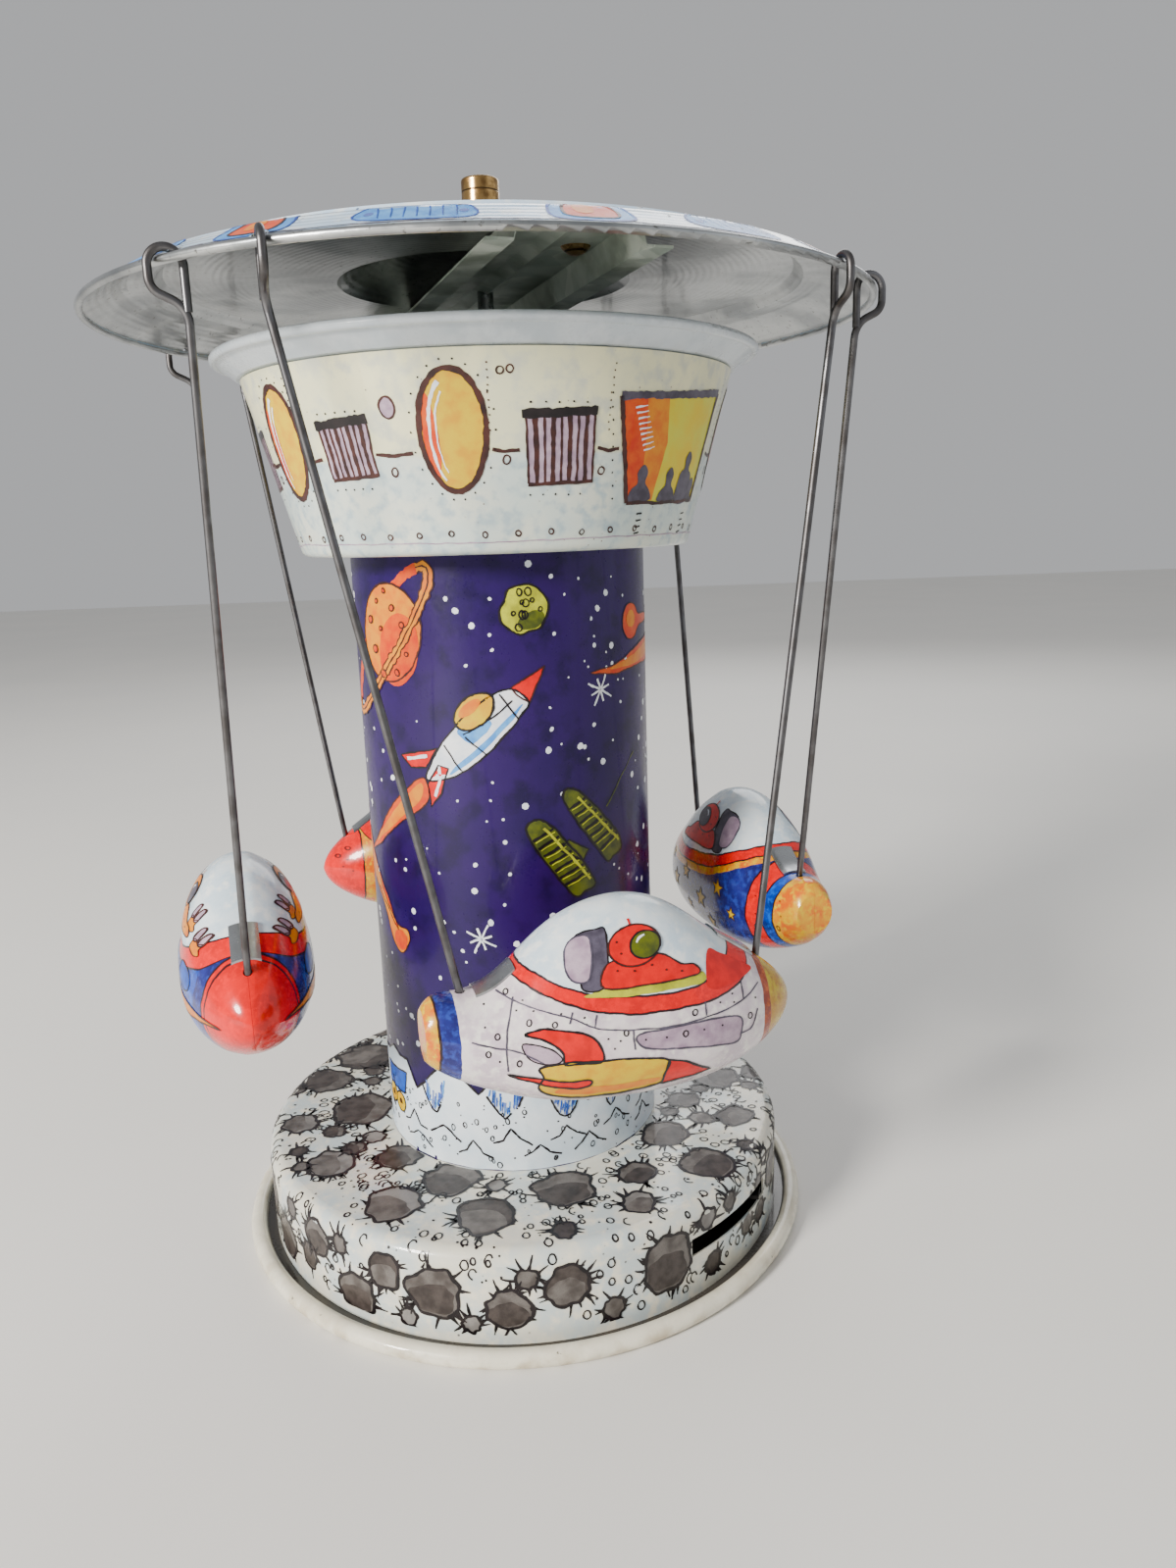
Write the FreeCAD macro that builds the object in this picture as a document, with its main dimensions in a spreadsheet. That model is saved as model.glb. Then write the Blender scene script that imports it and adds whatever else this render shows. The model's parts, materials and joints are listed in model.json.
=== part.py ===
"""Wind-up tin space carousel.

A round clockwork base carries a printed column and a flared head.  A dished canopy turns on a
steel spindle above the head, and four tin rocket gondolas hang from its rim on pairs of wires.

Frame: +Z up, millimetres, origin at the centre of the base's underside, front towards -Y.
Azimuths are measured from the front (-Y) towards +X.
"""
import FreeCAD, Part
import math
import os
import re

import Sketcher
from FreeCAD import Placement, Rotation, Vector

DIMENSIONS = (
    # sheet metal and wire
    ("tin", 0.5),
    ("wire_radius", 0.85),
    ("gap", 0.05),
    # base
    ("bead_radius", 2.3),
    ("bead_centre", 77.0),
    ("foot_wear", 0.1),
    ("floor_height", 1.6),
    ("housing_radius", 72.3),
    ("housing_top", 26.4),
    ("housing_round", 3.5),
    ("housing_hole", 14.0),
    ("slot_length", 34.0),
    ("slot_height", 4.8),
    ("slot_middle", 15.8),
    ("slot_azimuth", 46.5),
    ("key_hole_radius", 2.6),
    # column
    ("column_radius", 38.0),
    ("tab_width", 8.0),
    ("tab_drop", 3.0),
    ("lap_width", 4.0),
    ("lap_azimuth", 118.0),
    # head
    ("head_low", 184.2),
    ("head_low_radius", 49.4),
    ("head_high", 225.7),
    ("head_high_radius", 60.8),
    ("head_round", 2.2),
    ("lid_floor", 221.5),
    ("lid_floor_radius", 58.9),
    ("curl_centre", 66.4),
    ("curl_height", 230.4),
    ("curl_radius", 1.1),
    ("bush_radius", 4.0),
    # canopy
    ("canopy_radius", 95.0),
    ("hem_radius", 0.9),
    ("hem_height", 240.0),
    ("band_radius", 84.9),
    ("band_height", 246.0),
    ("step_radius", 78.0),
    ("step_height", 246.5),
    ("panel_radius", 75.6),
    ("panel_height", 248.8),
    ("dome_radius", 36.0),
    ("dome_height", 249.4),
    ("crown_radius", 11.0),
    ("crown_height", 259.5),
    ("dome_bow", 3.2),
    ("band_corner", 1.4),
    ("band_fall", 1.1),
    ("brow_fall", 0.35),
    ("hub_height", 259.8),
    # beam, hub and spindle
    ("spindle_radius", 2.0),
    ("spindle_foot_radius", 1.8),
    ("spindle_foot", 3.4),
    ("spindle_top", 270.3),
    ("beam_azimuth", 15.0),
    ("beam_half_length", 73.0),
    ("beam_lip_height", 242.2),
    ("beam_web_height", 247.7),
    ("beam_half_width", 19.0),
    ("beam_lip_width", 5.5),
    ("beam_rib_depth", 1.4),
    ("rivet_radius", 3.2),
    ("rivet_along", 47.0),
    ("rivet_across", 7.8),
    ("nut_radius", 4.6),
    ("nut_height", 272.8),
    ("spacer_radius", 3.6),
    # gondolas
    ("gondola_azimuth", 13.5),
    ("gondola_count", 4),
    ("hook_offset", 57.6),
    ("hook_radius", 3.2),
    ("pivot_distance", 74.0),
    ("hull_distance", 72.95),
    ("pivot_height", 239.0),
    ("tail_length", 8.1),
    ("hook_hole_angle", 60.0),
    ("hook_hole_radius", 1.36),
    ("neck_drop", 4.2),
    ("shoulder_drop", 7.2),
    ("shoulder_run", 6.5),
    ("shoulder_bend", 4.6),
    ("foot_sink", 4.4),
    ("foot_run", 6.5),
    ("foot_dip", 1.0),
    ("foot_bend", 1.7),
    ("tail_seat", 94.4),
    ("nose_seat", 92.8),
    ("wire_nose", 38.1),
    ("wire_tail", 29.6),
    ("clip_length", 8.6),
    ("clip_reach", 3.4),
    # clockwork
    ("motor_turn", 8.0),
    ("arbor_height", 13.2),
    ("gear_module", 0.6),
    ("pinion_teeth", 10),
    ("crown_teeth", 24),
    ("great_teeth", 32),
    ("plate_front", 9.0),
    ("plate_rear", 27.0),
    ("plate_thickness", 0.8),
    ("plate_top", 23.6),
    ("pillar_radius", 1.0),
    ("arbor_radius", 1.6),
    ("second_arbor_radius", 1.0),
    ("arbor_end", 69.6),
    ("square_side", 2.8),
    ("spring_outer", 8.2),
    ("spring_turns", 5),
    ("spring_width", 9.0),
    # brake lever
    ("lever_pivot_across", 30.0),
    ("lever_pivot_front", 30.0),
    ("lever_height", 15.3),
    ("lever_thickness", 1.0),
    ("lever_outer_length", 32.3),
    ("lever_outer_angle", -17.1),
    ("lever_inner_length", 21.1),
    ("lever_inner_angle", 212.8),
    ("post_radius", 1.6),
)

# Gondola outline: distance along the hull, ridge height, keel height, half width, waist height.
GONDOLA_STATIONS = (
    (-39.0, 91.6, 80.4, 5.2, 86.0),
    (-29.5, 94.4, 73.6, 9.6, 84.0),
    (-20.5, 98.0, 69.8, 12.8, 82.8),
    (-13.0, 104.6, 67.6, 14.8, 82.2),
    (-4.0, 109.6, 66.2, 16.0, 82.0),
    (6.5, 111.2, 65.6, 16.4, 82.0),
    (16.5, 108.2, 65.8, 16.0, 82.0),
    (24.5, 102.6, 66.8, 14.6, 81.9),
    (32.0, 97.2, 69.0, 12.2, 81.7),
    (39.0, 92.2, 72.6, 8.8, 81.6),
    (43.6, 88.0, 76.2, 5.2, 81.7),
)
GONDOLA_NOSE = (46.6, 82.0)

doc = FreeCAD.newDocument("SpaceCarousel")
sheet = doc.addObject("Spreadsheet::Sheet", "dims")
for row, (alias, value) in enumerate(DIMENSIONS, start=1):
    sheet.set("A%d" % row, alias)
    sheet.set("B%d" % row, str(value))
    sheet.setAlias("B%d" % row, alias)
doc.recompute()
D = {alias: float(sheet.get(alias)) for alias, _ in DIMENSIONS}
AXIS_Z = Vector(0, 0, 1)
ORIGIN = Vector(0, 0, 0)
subparts = []


# ---------------------------------------------------------------- helpers

def bound(text):
    """Turn a formula of sheet aliases into an expression of this document."""
    return re.sub(r"\b([a-z][a-z_]+)\b", r"dims.\1", text)


def keep(obj):
    """Register an object as a finished sub-part."""
    subparts.append(obj)
    return obj


def turned(azimuth):
    """Placement that turns a front-facing piece to an azimuth."""
    return Placement(ORIGIN, Rotation(AXIS_Z, azimuth))


def new_body(label):
    body = doc.addObject("PartDesign::Body", label)
    body.Label = label
    return keep(body)


def origin_plane(body, role):
    return next(item for item in body.Origin.OriginFeatures if item.Role == role)


def new_sketch(body, name, role="XZ_Plane"):
    sketch = body.newObject("Sketcher::SketchObject", name)
    sketch.AttachmentSupport = (origin_plane(body, role), [""])
    sketch.MapMode = "FlatFace"
    return sketch


def place_point(sketch, geometry, point, formulas, seed):
    """Tie a sketch point to two formulas of the sheet."""
    for kind, formula, start in (("DistanceX", formulas[0], seed.x),
                                 ("DistanceY", formulas[1], seed.y)):
        constraint = Sketcher.Constraint(kind, -1, 1, geometry, point, start)
        index = sketch.addConstraint(constraint)
        sketch.setExpression("Constraints[%d]" % index, bound(formula))


def add_outline(sketch, corners):
    """Closed outline whose corners are pairs of formulas."""
    count = len(corners)
    first = sketch.GeometryCount
    steps = [2 * math.pi * i / count for i in range(count)]
    seeds = [Vector(60 + 20 * math.cos(a), 60 + 20 * math.sin(a), 0) for a in steps]
    for i in range(count):
        sketch.addGeometry(Part.LineSegment(seeds[i], seeds[(i + 1) % count]))
    for i in range(count):
        following = first + (i + 1) % count
        sketch.addConstraint(Sketcher.Constraint("Coincident", first + i, 2, following, 1))
    for i, corner in enumerate(corners):
        place_point(sketch, first + i, 1, corner, seeds[i])


def add_circle(sketch, centre, radius):
    """Circle whose centre and radius are formulas."""
    seed = Vector(60, 60, 0)
    geometry = sketch.addGeometry(Part.Circle(seed, AXIS_Z, 2.0))
    place_point(sketch, geometry, 3, centre, seed)
    index = sketch.addConstraint(Sketcher.Constraint("Radius", geometry, 2.0))
    sketch.setExpression("Constraints[%d]" % index, bound(radius))


def revolve(body, sketch, name):
    feature = body.newObject("PartDesign::Revolution", name)
    feature.Profile = sketch
    feature.ReferenceAxis = (sketch, ["V_Axis"])
    feature.Angle = 360
    doc.recompute()
    return feature


def spun_outline(body, name, corners):
    sketch = new_sketch(body, name + "_profile")
    add_outline(sketch, corners)
    return revolve(body, sketch, name)


def spun_circle(body, name, centre, radius):
    sketch = new_sketch(body, name + "_section")
    add_circle(sketch, centre, radius)
    return revolve(body, sketch, name)


def ring_edges(feature, radius, height):
    """Names of the full rings of a feature at a radius and height."""
    names = []
    for number, edge in enumerate(feature.Shape.Edges, start=1):
        curve = edge.Curve
        if not isinstance(curve, Part.Circle):
            continue
        if abs(curve.Radius - radius) < 0.02 and abs(curve.Center.z - height) < 0.02:
            names.append("Edge%d" % number)
    return names


def round_ring(body, base, name, rings, radius):
    edges = [edge for r, z in rings for edge in ring_edges(base, r, z)]
    feature = body.newObject("PartDesign::Fillet", name)
    feature.Base = (base, edges)
    feature.Radius = radius
    doc.recompute()
    return feature


def cut_box(body, name, sizes, low_corner, azimuth):
    """Subtractive box given at the front and turned to an azimuth."""
    before = body.Shape.Volume
    cutter = body.newObject("PartDesign::SubtractiveBox", name)
    for prop, formula in zip(("Length", "Width", "Height"), sizes):
        cutter.setExpression(prop, bound(formula))
    spin = turned(azimuth)
    cutter.Placement = spin.multiply(Placement(low_corner, Rotation()))
    doc.recompute()
    if not body.Shape.Volume < before:
        raise RuntimeError(name + " removes nothing")
    return cutter


def cut_cylinder(body, name, radius, length, base, direction):
    before = body.Shape.Volume
    cutter = body.newObject("PartDesign::SubtractiveCylinder", name)
    cutter.setExpression("Radius", bound(radius))
    cutter.Height = length
    cutter.Placement = Placement(base, Rotation(AXIS_Z, direction))
    doc.recompute()
    if not body.Shape.Volume < before:
        raise RuntimeError(name + " removes nothing")
    return cutter


def cylinder(name, radius, height, place):
    """Part cylinder whose radius and height are formulas."""
    obj = doc.addObject("Part::Cylinder", name)
    obj.setExpression("Radius", bound(radius))
    obj.setExpression("Height", bound(height))
    obj.Placement = place
    return obj


def fused(label, pieces):
    obj = doc.addObject("Part::MultiFuse", label)
    obj.Shapes = pieces
    obj.Refine = True
    obj.Label = label
    return keep(obj)


def cut(label, base, tool):
    obj = doc.addObject("Part::Cut", label)
    obj.Base = base
    obj.Tool = tool
    obj.Label = label
    return obj


def feature_from(label, shape, place=None):
    """Sub-part whose shape is worked out here from the sheet's values."""
    obj = doc.addObject("Part::Feature", label)
    obj.Shape = shape
    obj.Label = label
    if place is not None:
        obj.Placement = place.multiply(shape.Placement)
    return keep(obj)


def rounded_path(points, radii):
    """Straight runs through the points, joined by tangent arcs of the given radii."""
    edges = []
    start = points[0]
    for corner, after, radius in zip(points[1:-1], points[2:], radii):
        before = (start - corner).normalize()
        ahead = (after - corner).normalize()
        half = before.getAngle(ahead) / 2
        reach = radius / math.tan(half)
        enter = corner + before * reach
        leave = corner + ahead * reach
        inward = (before + ahead).normalize()
        middle = corner + inward * (radius / math.sin(half) - radius)
        if (start - enter).Length > 1e-6:
            edges.append(Part.LineSegment(start, enter).toShape())
        edges.append(Part.Arc(enter, middle, leave).toShape())
        start = leave
    edges.append(Part.LineSegment(start, points[-1]).toShape())
    return Part.Wire(edges)


def bent_wire(points, radii, radius):
    """Round wire swept along a rounded path."""
    path = rounded_path(points, radii)
    heading = points[1] - points[0]
    section = Part.Wire(Part.Circle(points[0], heading, radius).toShape())
    solid = path.makePipeShell([section], True, False)
    expected = math.pi * radius ** 2 * path.Length
    if abs(solid.Volume - expected) > 0.02 * expected:
        raise RuntimeError("bent wire has the wrong volume")
    return solid


def box_shape(low, high):
    size = high - low
    return Part.makeBox(size.x, size.y, size.z, low)


# ---------------------------------------------------------------- base

def make_base_plate():
    body = new_body("base_plate")
    spun_outline(body, "floor_pan", (
        ("post_radius", "floor_height"),
        ("bead_centre", "floor_height"),
        ("bead_centre", "floor_height + tin"),
        ("post_radius", "floor_height + tin")))
    spun_circle(body, "wired_edge", ("bead_centre", "bead_radius - foot_wear"), "bead_radius")
    cut_cylinder(body, "flat_foot", "bead_centre * 1.1", 1.0, Vector(0, 0, -1.0), AXIS_Z)


def make_base_housing():
    body = new_body("base_housing")
    wall = spun_outline(body, "drum", (
        ("housing_hole", "housing_top"),
        ("housing_radius", "housing_top"),
        ("housing_radius", "floor_height + tin"),
        ("housing_radius - tin", "floor_height + tin"),
        ("housing_radius - tin", "housing_top - tin"),
        ("housing_hole", "housing_top - tin")))
    outer = round_ring(body, wall, "outer_round",
                       ((D["housing_radius"], D["housing_top"]),), D["housing_round"])
    inner_ring = (D["housing_radius"] - D["tin"], D["housing_top"] - D["tin"])
    round_ring(body, outer, "inner_round", (inner_ring,), D["housing_round"] - D["tin"])
    cut_box(body, "lever_slot", ("slot_length", "tin * 24", "slot_height"),
            Vector(-D["slot_length"] / 2, -D["housing_radius"] - 2,
                   D["slot_middle"] - D["slot_height"] / 2), D["slot_azimuth"])
    turn = -D["motor_turn"]
    key = turned(turn).multVec(Vector(60, -great_offset(), D["arbor_height"]))
    out = turned(turn).multVec(Vector(1, 0, 0))
    cut_cylinder(body, "key_hole", "key_hole_radius", 20, key, out)
    for quarter in range(4):
        cut_box(body, "tab_slot_%d" % quarter, ("tab_width + tin", "tin * 3", "tin * 4"),
                Vector(-(D["tab_width"] + D["tin"]) / 2, -D["column_radius"] - D["tin"] * 0.5,
                       D["housing_top"] - 2 * D["tin"]), 45 + 90 * quarter)


def tab_solid(bottom, height):
    """One flat fixing tab at the front of the column wall."""
    low = Vector(-D["tab_width"] / 2, -D["column_radius"] + 0.1, bottom)
    high = low + Vector(D["tab_width"], D["tin"], height)
    return box_shape(low, high)


def make_column():
    radius = D["column_radius"]
    low = D["housing_top"]
    high = D["head_low"]
    wall = Part.makeCylinder(radius, high - low, Vector(0, 0, low))
    bore = Part.makeCylinder(radius - D["tin"], high - low, Vector(0, 0, low))
    tube = wall.cut(bore)
    lap_angle = math.degrees(D["lap_width"] / radius)
    lap_start = D["lap_azimuth"] - 90
    lap = Part.makeCylinder(radius + 0.25, high - low - 1.0, Vector(0, 0, low + 0.5),
                            AXIS_Z, lap_angle)
    lap.rotate(ORIGIN, AXIS_Z, lap_start)
    tube = tube.fuse(lap.cut(bore))
    for quarter in range(4):
        for bottom in (low - D["tab_drop"], high - 1.0):
            tab = tab_solid(bottom, D["tab_drop"] + 1.0)
            tab.rotate(ORIGIN, AXIS_Z, 45 + 90 * quarter)
            tube = tube.fuse(tab)
    feature_from("column_tube", tube)


# ---------------------------------------------------------------- head

def make_head_shell():
    body = new_body("head_shell")
    cone = spun_outline(body, "cone", (
        ("housing_hole", "head_low"),
        ("head_low_radius", "head_low"),
        ("head_high_radius", "head_high"),
        ("head_high_radius - tin", "head_high"),
        ("head_low_radius - tin", "head_low + tin"),
        ("housing_hole", "head_low + tin")))
    round_ring(body, cone, "lower_round",
               ((D["head_low_radius"], D["head_low"]),), D["head_round"])
    for quarter in range(4):
        cut_box(body, "head_tab_slot_%d" % quarter, ("tab_width + tin", "tin * 3", "tin * 4"),
                Vector(-(D["tab_width"] + D["tin"]) / 2, -D["column_radius"] - D["tin"] * 0.5,
                       D["head_low"] - D["tin"]), 45 + 90 * quarter)


def make_head_lid():
    body = new_body("head_lid")
    spun_outline(body, "tray", (
        ("bush_radius", "lid_floor"),
        ("lid_floor_radius", "lid_floor"),
        ("head_high_radius - tin * 1.5", "head_high + tin * 0.4"),
        ("head_high_radius + tin * 1.6", "head_high + tin"),
        ("curl_centre - tin * 0.4", "curl_height - tin * 1.4"),
        ("curl_centre - tin * 1.2", "curl_height - tin * 0.6"),
        ("head_high_radius + tin * 0.8", "head_high + tin * 2"),
        ("head_high_radius - tin * 2.4", "head_high + tin * 1.2"),
        ("lid_floor_radius - tin", "lid_floor + tin"),
        ("bush_radius", "lid_floor + tin")))
    spun_circle(body, "rolled_curl", ("curl_centre", "curl_height"), "curl_radius")


def make_bushes():
    """Flanged brass bush in the lid and the footstep cup on the floor pan."""
    body = new_body("spindle_bush")
    spun_outline(body, "flanged_bush", (
        ("spindle_radius + gap", "lid_floor - tin * 4"),
        ("bush_radius", "lid_floor - tin * 4"),
        ("bush_radius", "lid_floor + tin"),
        ("bush_radius * 1.4", "lid_floor + tin"),
        ("bush_radius * 1.4", "lid_floor + tin * 3"),
        ("spindle_radius + gap", "lid_floor + tin * 3")))
    cup = new_body("footstep_bearing")
    spun_outline(cup, "footstep_ring", (
        ("spindle_foot_radius + gap", "floor_height + tin"),
        ("bush_radius * 1.2", "floor_height + tin"),
        ("bush_radius", "floor_height + tin * 7"),
        ("spindle_foot_radius + gap", "floor_height + tin * 7")))
    floor = cylinder("footstep_seat", "post_radius", "tin * 3.4",
                     Placement(Vector(0, 0, D["floor_height"]), Rotation()))
    floor.Label = "footstep_seat"
    keep(floor)


# ---------------------------------------------------------------- canopy

def canopy_line(drop):
    """Edges of the canopy's sheet from hub to hem, lowered by a distance."""
    crown = D["crown_radius"]
    dome = D["dome_radius"]
    corner = D["band_corner"]
    hub = Vector(D["spindle_radius"] + D["gap"], 0, D["hub_height"] - drop)
    boss = Vector(crown * 0.6, 0, D["hub_height"] - drop)
    start = Vector(crown, 0, D["crown_height"] - drop)
    bow = Vector((crown + dome) * 0.5, 0, D["crown_height"] - D["dome_bow"] - drop)
    foot = Vector(dome, 0, D["dome_height"] - drop)
    panel = Vector(D["panel_radius"], 0, D["panel_height"] - drop)
    step = Vector(D["step_radius"], 0, D["step_height"] - drop)
    band = Vector(D["band_radius"] - corner, 0, D["band_height"] + 0.1 - drop)
    brow = Vector(D["band_radius"] + 0.1, 0, D["band_height"] - D["brow_fall"] - drop)
    slope = Vector(D["band_radius"] + corner, 0, D["band_height"] - D["band_fall"] - drop)
    hem = Vector(D["canopy_radius"] - D["hem_radius"], 0,
                 D["hem_height"] + D["hem_radius"] * 0.7 - drop)
    return [Part.LineSegment(hub, boss).toShape(),
            Part.LineSegment(boss, start).toShape(),
            Part.Arc(start, bow, foot).toShape(),
            Part.LineSegment(foot, panel).toShape(),
            Part.LineSegment(panel, step).toShape(),
            Part.LineSegment(step, band).toShape(),
            Part.Arc(band, brow, slope).toShape(),
            Part.LineSegment(slope, hem).toShape()], hub, hem


def make_canopy():
    tin = D["tin"]
    upper, upper_hub, upper_hem = canopy_line(0)
    lower, lower_hub, lower_hem = canopy_line(tin)
    ends = [Part.LineSegment(upper_hub, lower_hub).toShape(),
            Part.LineSegment(upper_hem, lower_hem).toShape()]
    outline = Part.Wire(Part.__sortEdges__(upper + lower + ends))
    canopy = Part.Face(outline).revolve(ORIGIN, AXIS_Z, 360)
    hem_centre = Vector(0, 0, D["hem_height"])
    hem = Part.makeTorus(D["canopy_radius"] - D["hem_radius"], D["hem_radius"], hem_centre)
    canopy = canopy.fuse(hem)
    angle = math.radians(D["hook_hole_angle"])
    across = -D["pivot_distance"] + D["hook_radius"] * math.cos(angle)
    height = D["pivot_height"] + D["hook_radius"] * math.sin(angle)
    lean = Vector(0, -math.sin(angle), math.cos(angle))
    depth = 3.0
    holes = []
    for number in range(int(D["gondola_count"])):
        for side in (-1, 1):
            middle = Vector(side * D["hook_offset"], across, height)
            hole = Part.makeCylinder(D["hook_hole_radius"], 2 * depth,
                                     middle - lean * depth, lean)
            hole.rotate(ORIGIN, AXIS_Z, D["gondola_azimuth"] + 90 * number)
            holes.append(hole)
    feature_from("canopy_disc", canopy.cut(holes))


def make_cross_beam():
    """Hat channel with a central rib, folded from one strip."""
    tin = D["tin"]
    half = D["beam_half_width"]
    lip = D["beam_lip_height"]
    web = D["beam_web_height"]
    wall_foot = half - D["beam_lip_width"]
    wall_head = wall_foot - 1.6
    right = ((half, lip), (wall_foot, lip), (wall_head, web), (3.0, web))
    rib = (0.0, web - D["beam_rib_depth"])
    under = list(right) + [rib] + [(-x, z) for x, z in reversed(right)]
    over = [(x, z + tin) for x, z in reversed(under)]
    corners = [Vector(x, -D["beam_half_length"], z) for x, z in under + over]
    face = Part.Face(Part.makePolygon(corners + corners[:1]))
    beam = face.extrude(Vector(0, 2 * D["beam_half_length"], 0))
    beam = beam.cut(Part.makeCylinder(D["spindle_radius"], 20, Vector(0, 0, lip - 5)))
    for x, y in rivet_places():
        beam = beam.cut(Part.makeCylinder(D["rivet_radius"] / 2, 20, Vector(x, y, lip - 5)))
    feature_from("cross_beam", beam, turned(D["beam_azimuth"]))


def rivet_places():
    along = D["rivet_along"]
    across = D["rivet_across"]
    return ((across, -along), (-across, along))


def make_beam_rivets():
    """Brass rivets that hold the channel under the canopy."""
    web = D["beam_web_height"]
    top = D["panel_height"] - D["tin"]
    solids = []
    for x, y in rivet_places():
        shank = Part.makeCylinder(D["rivet_radius"] / 2, top - web + 0.2, Vector(x, y, web - 0.2))
        ball = Part.makeSphere(D["rivet_radius"] * 1.2, Vector(x, y, web + 2.0))
        slab = box_shape(Vector(x - 6, y - 6, web - 3), Vector(x + 6, y + 6, web))
        solids.append(ball.common(slab).fuse(shank).removeSplitter())
    feature_from("beam_rivets", Part.makeCompound(solids), turned(D["beam_azimuth"]))


def make_hub():
    """Brass spacer under the canopy's crown and the brass cap nut above it."""
    tube = new_body("hub_spacer")
    spun_outline(tube, "spacer_tube", (
        ("spindle_radius", "beam_web_height + tin"),
        ("spacer_radius", "beam_web_height + tin"),
        ("spacer_radius", "hub_height - tin"),
        ("spindle_radius", "hub_height - tin")))
    cap_body = cylinder("nut_blank", "nut_radius", "nut_height - hub_height",
                        Placement(Vector(0, 0, D["hub_height"]), Rotation()))
    bore = cylinder("nut_bore", "spindle_radius", "spindle_top - hub_height + tin",
                    Placement(Vector(0, 0, D["hub_height"] - D["tin"]), Rotation()))
    drilled = cut("nut_drilled", cap_body, bore)
    doc.recompute()
    cap = doc.addObject("Part::Fillet", "hub_nut")
    cap.Base = drilled
    rims = [number for number, edge in enumerate(drilled.Shape.Edges, start=1)
            if isinstance(edge.Curve, Part.Circle) and edge.Curve.Radius > D["nut_radius"] - 0.01]
    cap.Edges = [(number, 0.6, 0.6) for number in rims]
    cap.Label = "hub_nut"
    keep(cap)


def make_spindle():
    foot = D["spindle_foot"] + D["tin"]
    shaft = cylinder("spindle_shaft", "spindle_radius", "spindle_top - plate_top",
                     Placement(Vector(0, 0, D["plate_top"]), Rotation()))
    lower = cylinder("spindle_lower", "spindle_foot_radius", "plate_top - spindle_foot - tin",
                     Placement(Vector(0, 0, foot), Rotation()))
    fused("spindle", [shaft, lower])


# ---------------------------------------------------------------- gondolas

def hull_section(station, grow):
    """Closed egg-shaped section of the hull, grown outwards by a distance."""
    along, ridge, keel, half_width, waist = station
    half_width += grow
    top = ridge + grow - waist
    bottom = waist - (keel - grow)
    centre = Vector(along, 0, waist)
    quarters = []
    for height, start in ((top, 0), (top, 1), (bottom, 2), (bottom, 3)):
        points = []
        for step in range(7):
            angle = (start + step / 6) * math.pi / 2
            points.append(centre + Vector(0, half_width * math.cos(angle),
                                          height * math.sin(angle)))
        curve = Part.BSplineCurve()
        first = Vector(0, -math.sin(start * math.pi / 2), math.cos(start * math.pi / 2))
        last = Vector(0, -math.sin((start + 1) * math.pi / 2),
                      math.cos((start + 1) * math.pi / 2))
        curve.interpolate(Points=points, InitialTangent=first, FinalTangent=last)
        quarters.append(curve.toShape())
    return Part.Wire(quarters)


def hull_solid(grow):
    sections = [hull_section(station, grow) for station in GONDOLA_STATIONS]
    along, height = GONDOLA_NOSE
    sections.append(Part.Vertex(Vector(along + grow, 0, height)))
    loft = Part.makeLoft(sections, True, False)
    tail_face = GONDOLA_STATIONS[0][0]
    if grow < 0:
        keep_box = box_shape(Vector(tail_face - grow, -30, 50), Vector(60, 30, 130))
        loft = loft.common(keep_box)
    return loft


def wire_points(side, reach, seat):
    """Corner points and bend radii of one hanging wire at the front of the canopy."""
    loop = D["hook_radius"]
    across = side * D["hook_offset"]
    height = D["pivot_height"]
    inner = loop - D["pivot_distance"]
    outer = -loop - D["pivot_distance"]
    foot = Vector(side * reach, -D["hull_distance"], seat - D["foot_sink"])
    points = [
        Vector(across, inner, height - D["tail_length"]),
        Vector(across, inner, height + loop),
        Vector(across, outer, height + loop),
        Vector(across, outer, height - D["neck_drop"]),
        Vector(across, outer + D["shoulder_run"], height - D["shoulder_drop"]),
        foot,
        foot + Vector(-side * D["foot_run"], 0, -D["foot_dip"]),
    ]
    return points, [loop, loop, loop, D["shoulder_bend"], D["foot_bend"]]


def make_gondolas():
    outside = hull_solid(0)
    hollow = hull_solid(-D["tin"])
    shell = outside.cut(hollow)
    gap = D["gap"]
    ends = ((-1, D["wire_tail"], D["tail_seat"]), (1, D["wire_nose"], D["nose_seat"]))
    lift = Vector(0, D["hull_distance"], 0)
    for end in ends:
        bend, foot = wire_points(*end)[0][4:6]
        heading = (bend - foot).normalize()
        start = foot + lift + heading * 1.6
        shell = shell.cut(Part.makeCylinder(D["wire_radius"] + 0.2, 9, start, heading))
    inner = shell.common(box_shape(Vector(-60, gap / 2, 40), Vector(60, 40, 130)))
    outer = shell.common(box_shape(Vector(-60, -40, 40), Vector(60, -gap / 2, 130)))
    cover = hull_solid(gap + 0.5).cut(hull_solid(gap))
    clips = []
    for side, reach, seat in ends:
        close = side * (reach - 1.9)
        far = side * (reach - 1.9 - D["clip_length"])
        low = Vector(min(close, far), -D["clip_reach"], seat - 6)
        high = Vector(max(close, far), D["clip_reach"], seat + 12)
        clips.append(cover.common(box_shape(low, high)))
    clip_pair = Part.makeCompound(clips)
    wires = {name: bent_wire(*wire_points(side, reach, seat), D["wire_radius"])
             for name, (side, reach, seat) in zip(("tail_wire", "nose_wire"), ends)}
    shift = Vector(0, -D["hull_distance"], 0)
    for number in range(int(D["gondola_count"])):
        spin = turned(D["gondola_azimuth"] + 90 * number)
        moved = spin.multiply(Placement(shift, Rotation()))
        prefix = "gondola_%d_" % (number + 1)
        feature_from(prefix + "outer_shell", outer, moved)
        feature_from(prefix + "inner_shell", inner, moved)
        feature_from(prefix + "seam_clips", clip_pair, moved)
        for name, solid in wires.items():
            feature_from(prefix + name, solid, spin)


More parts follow.
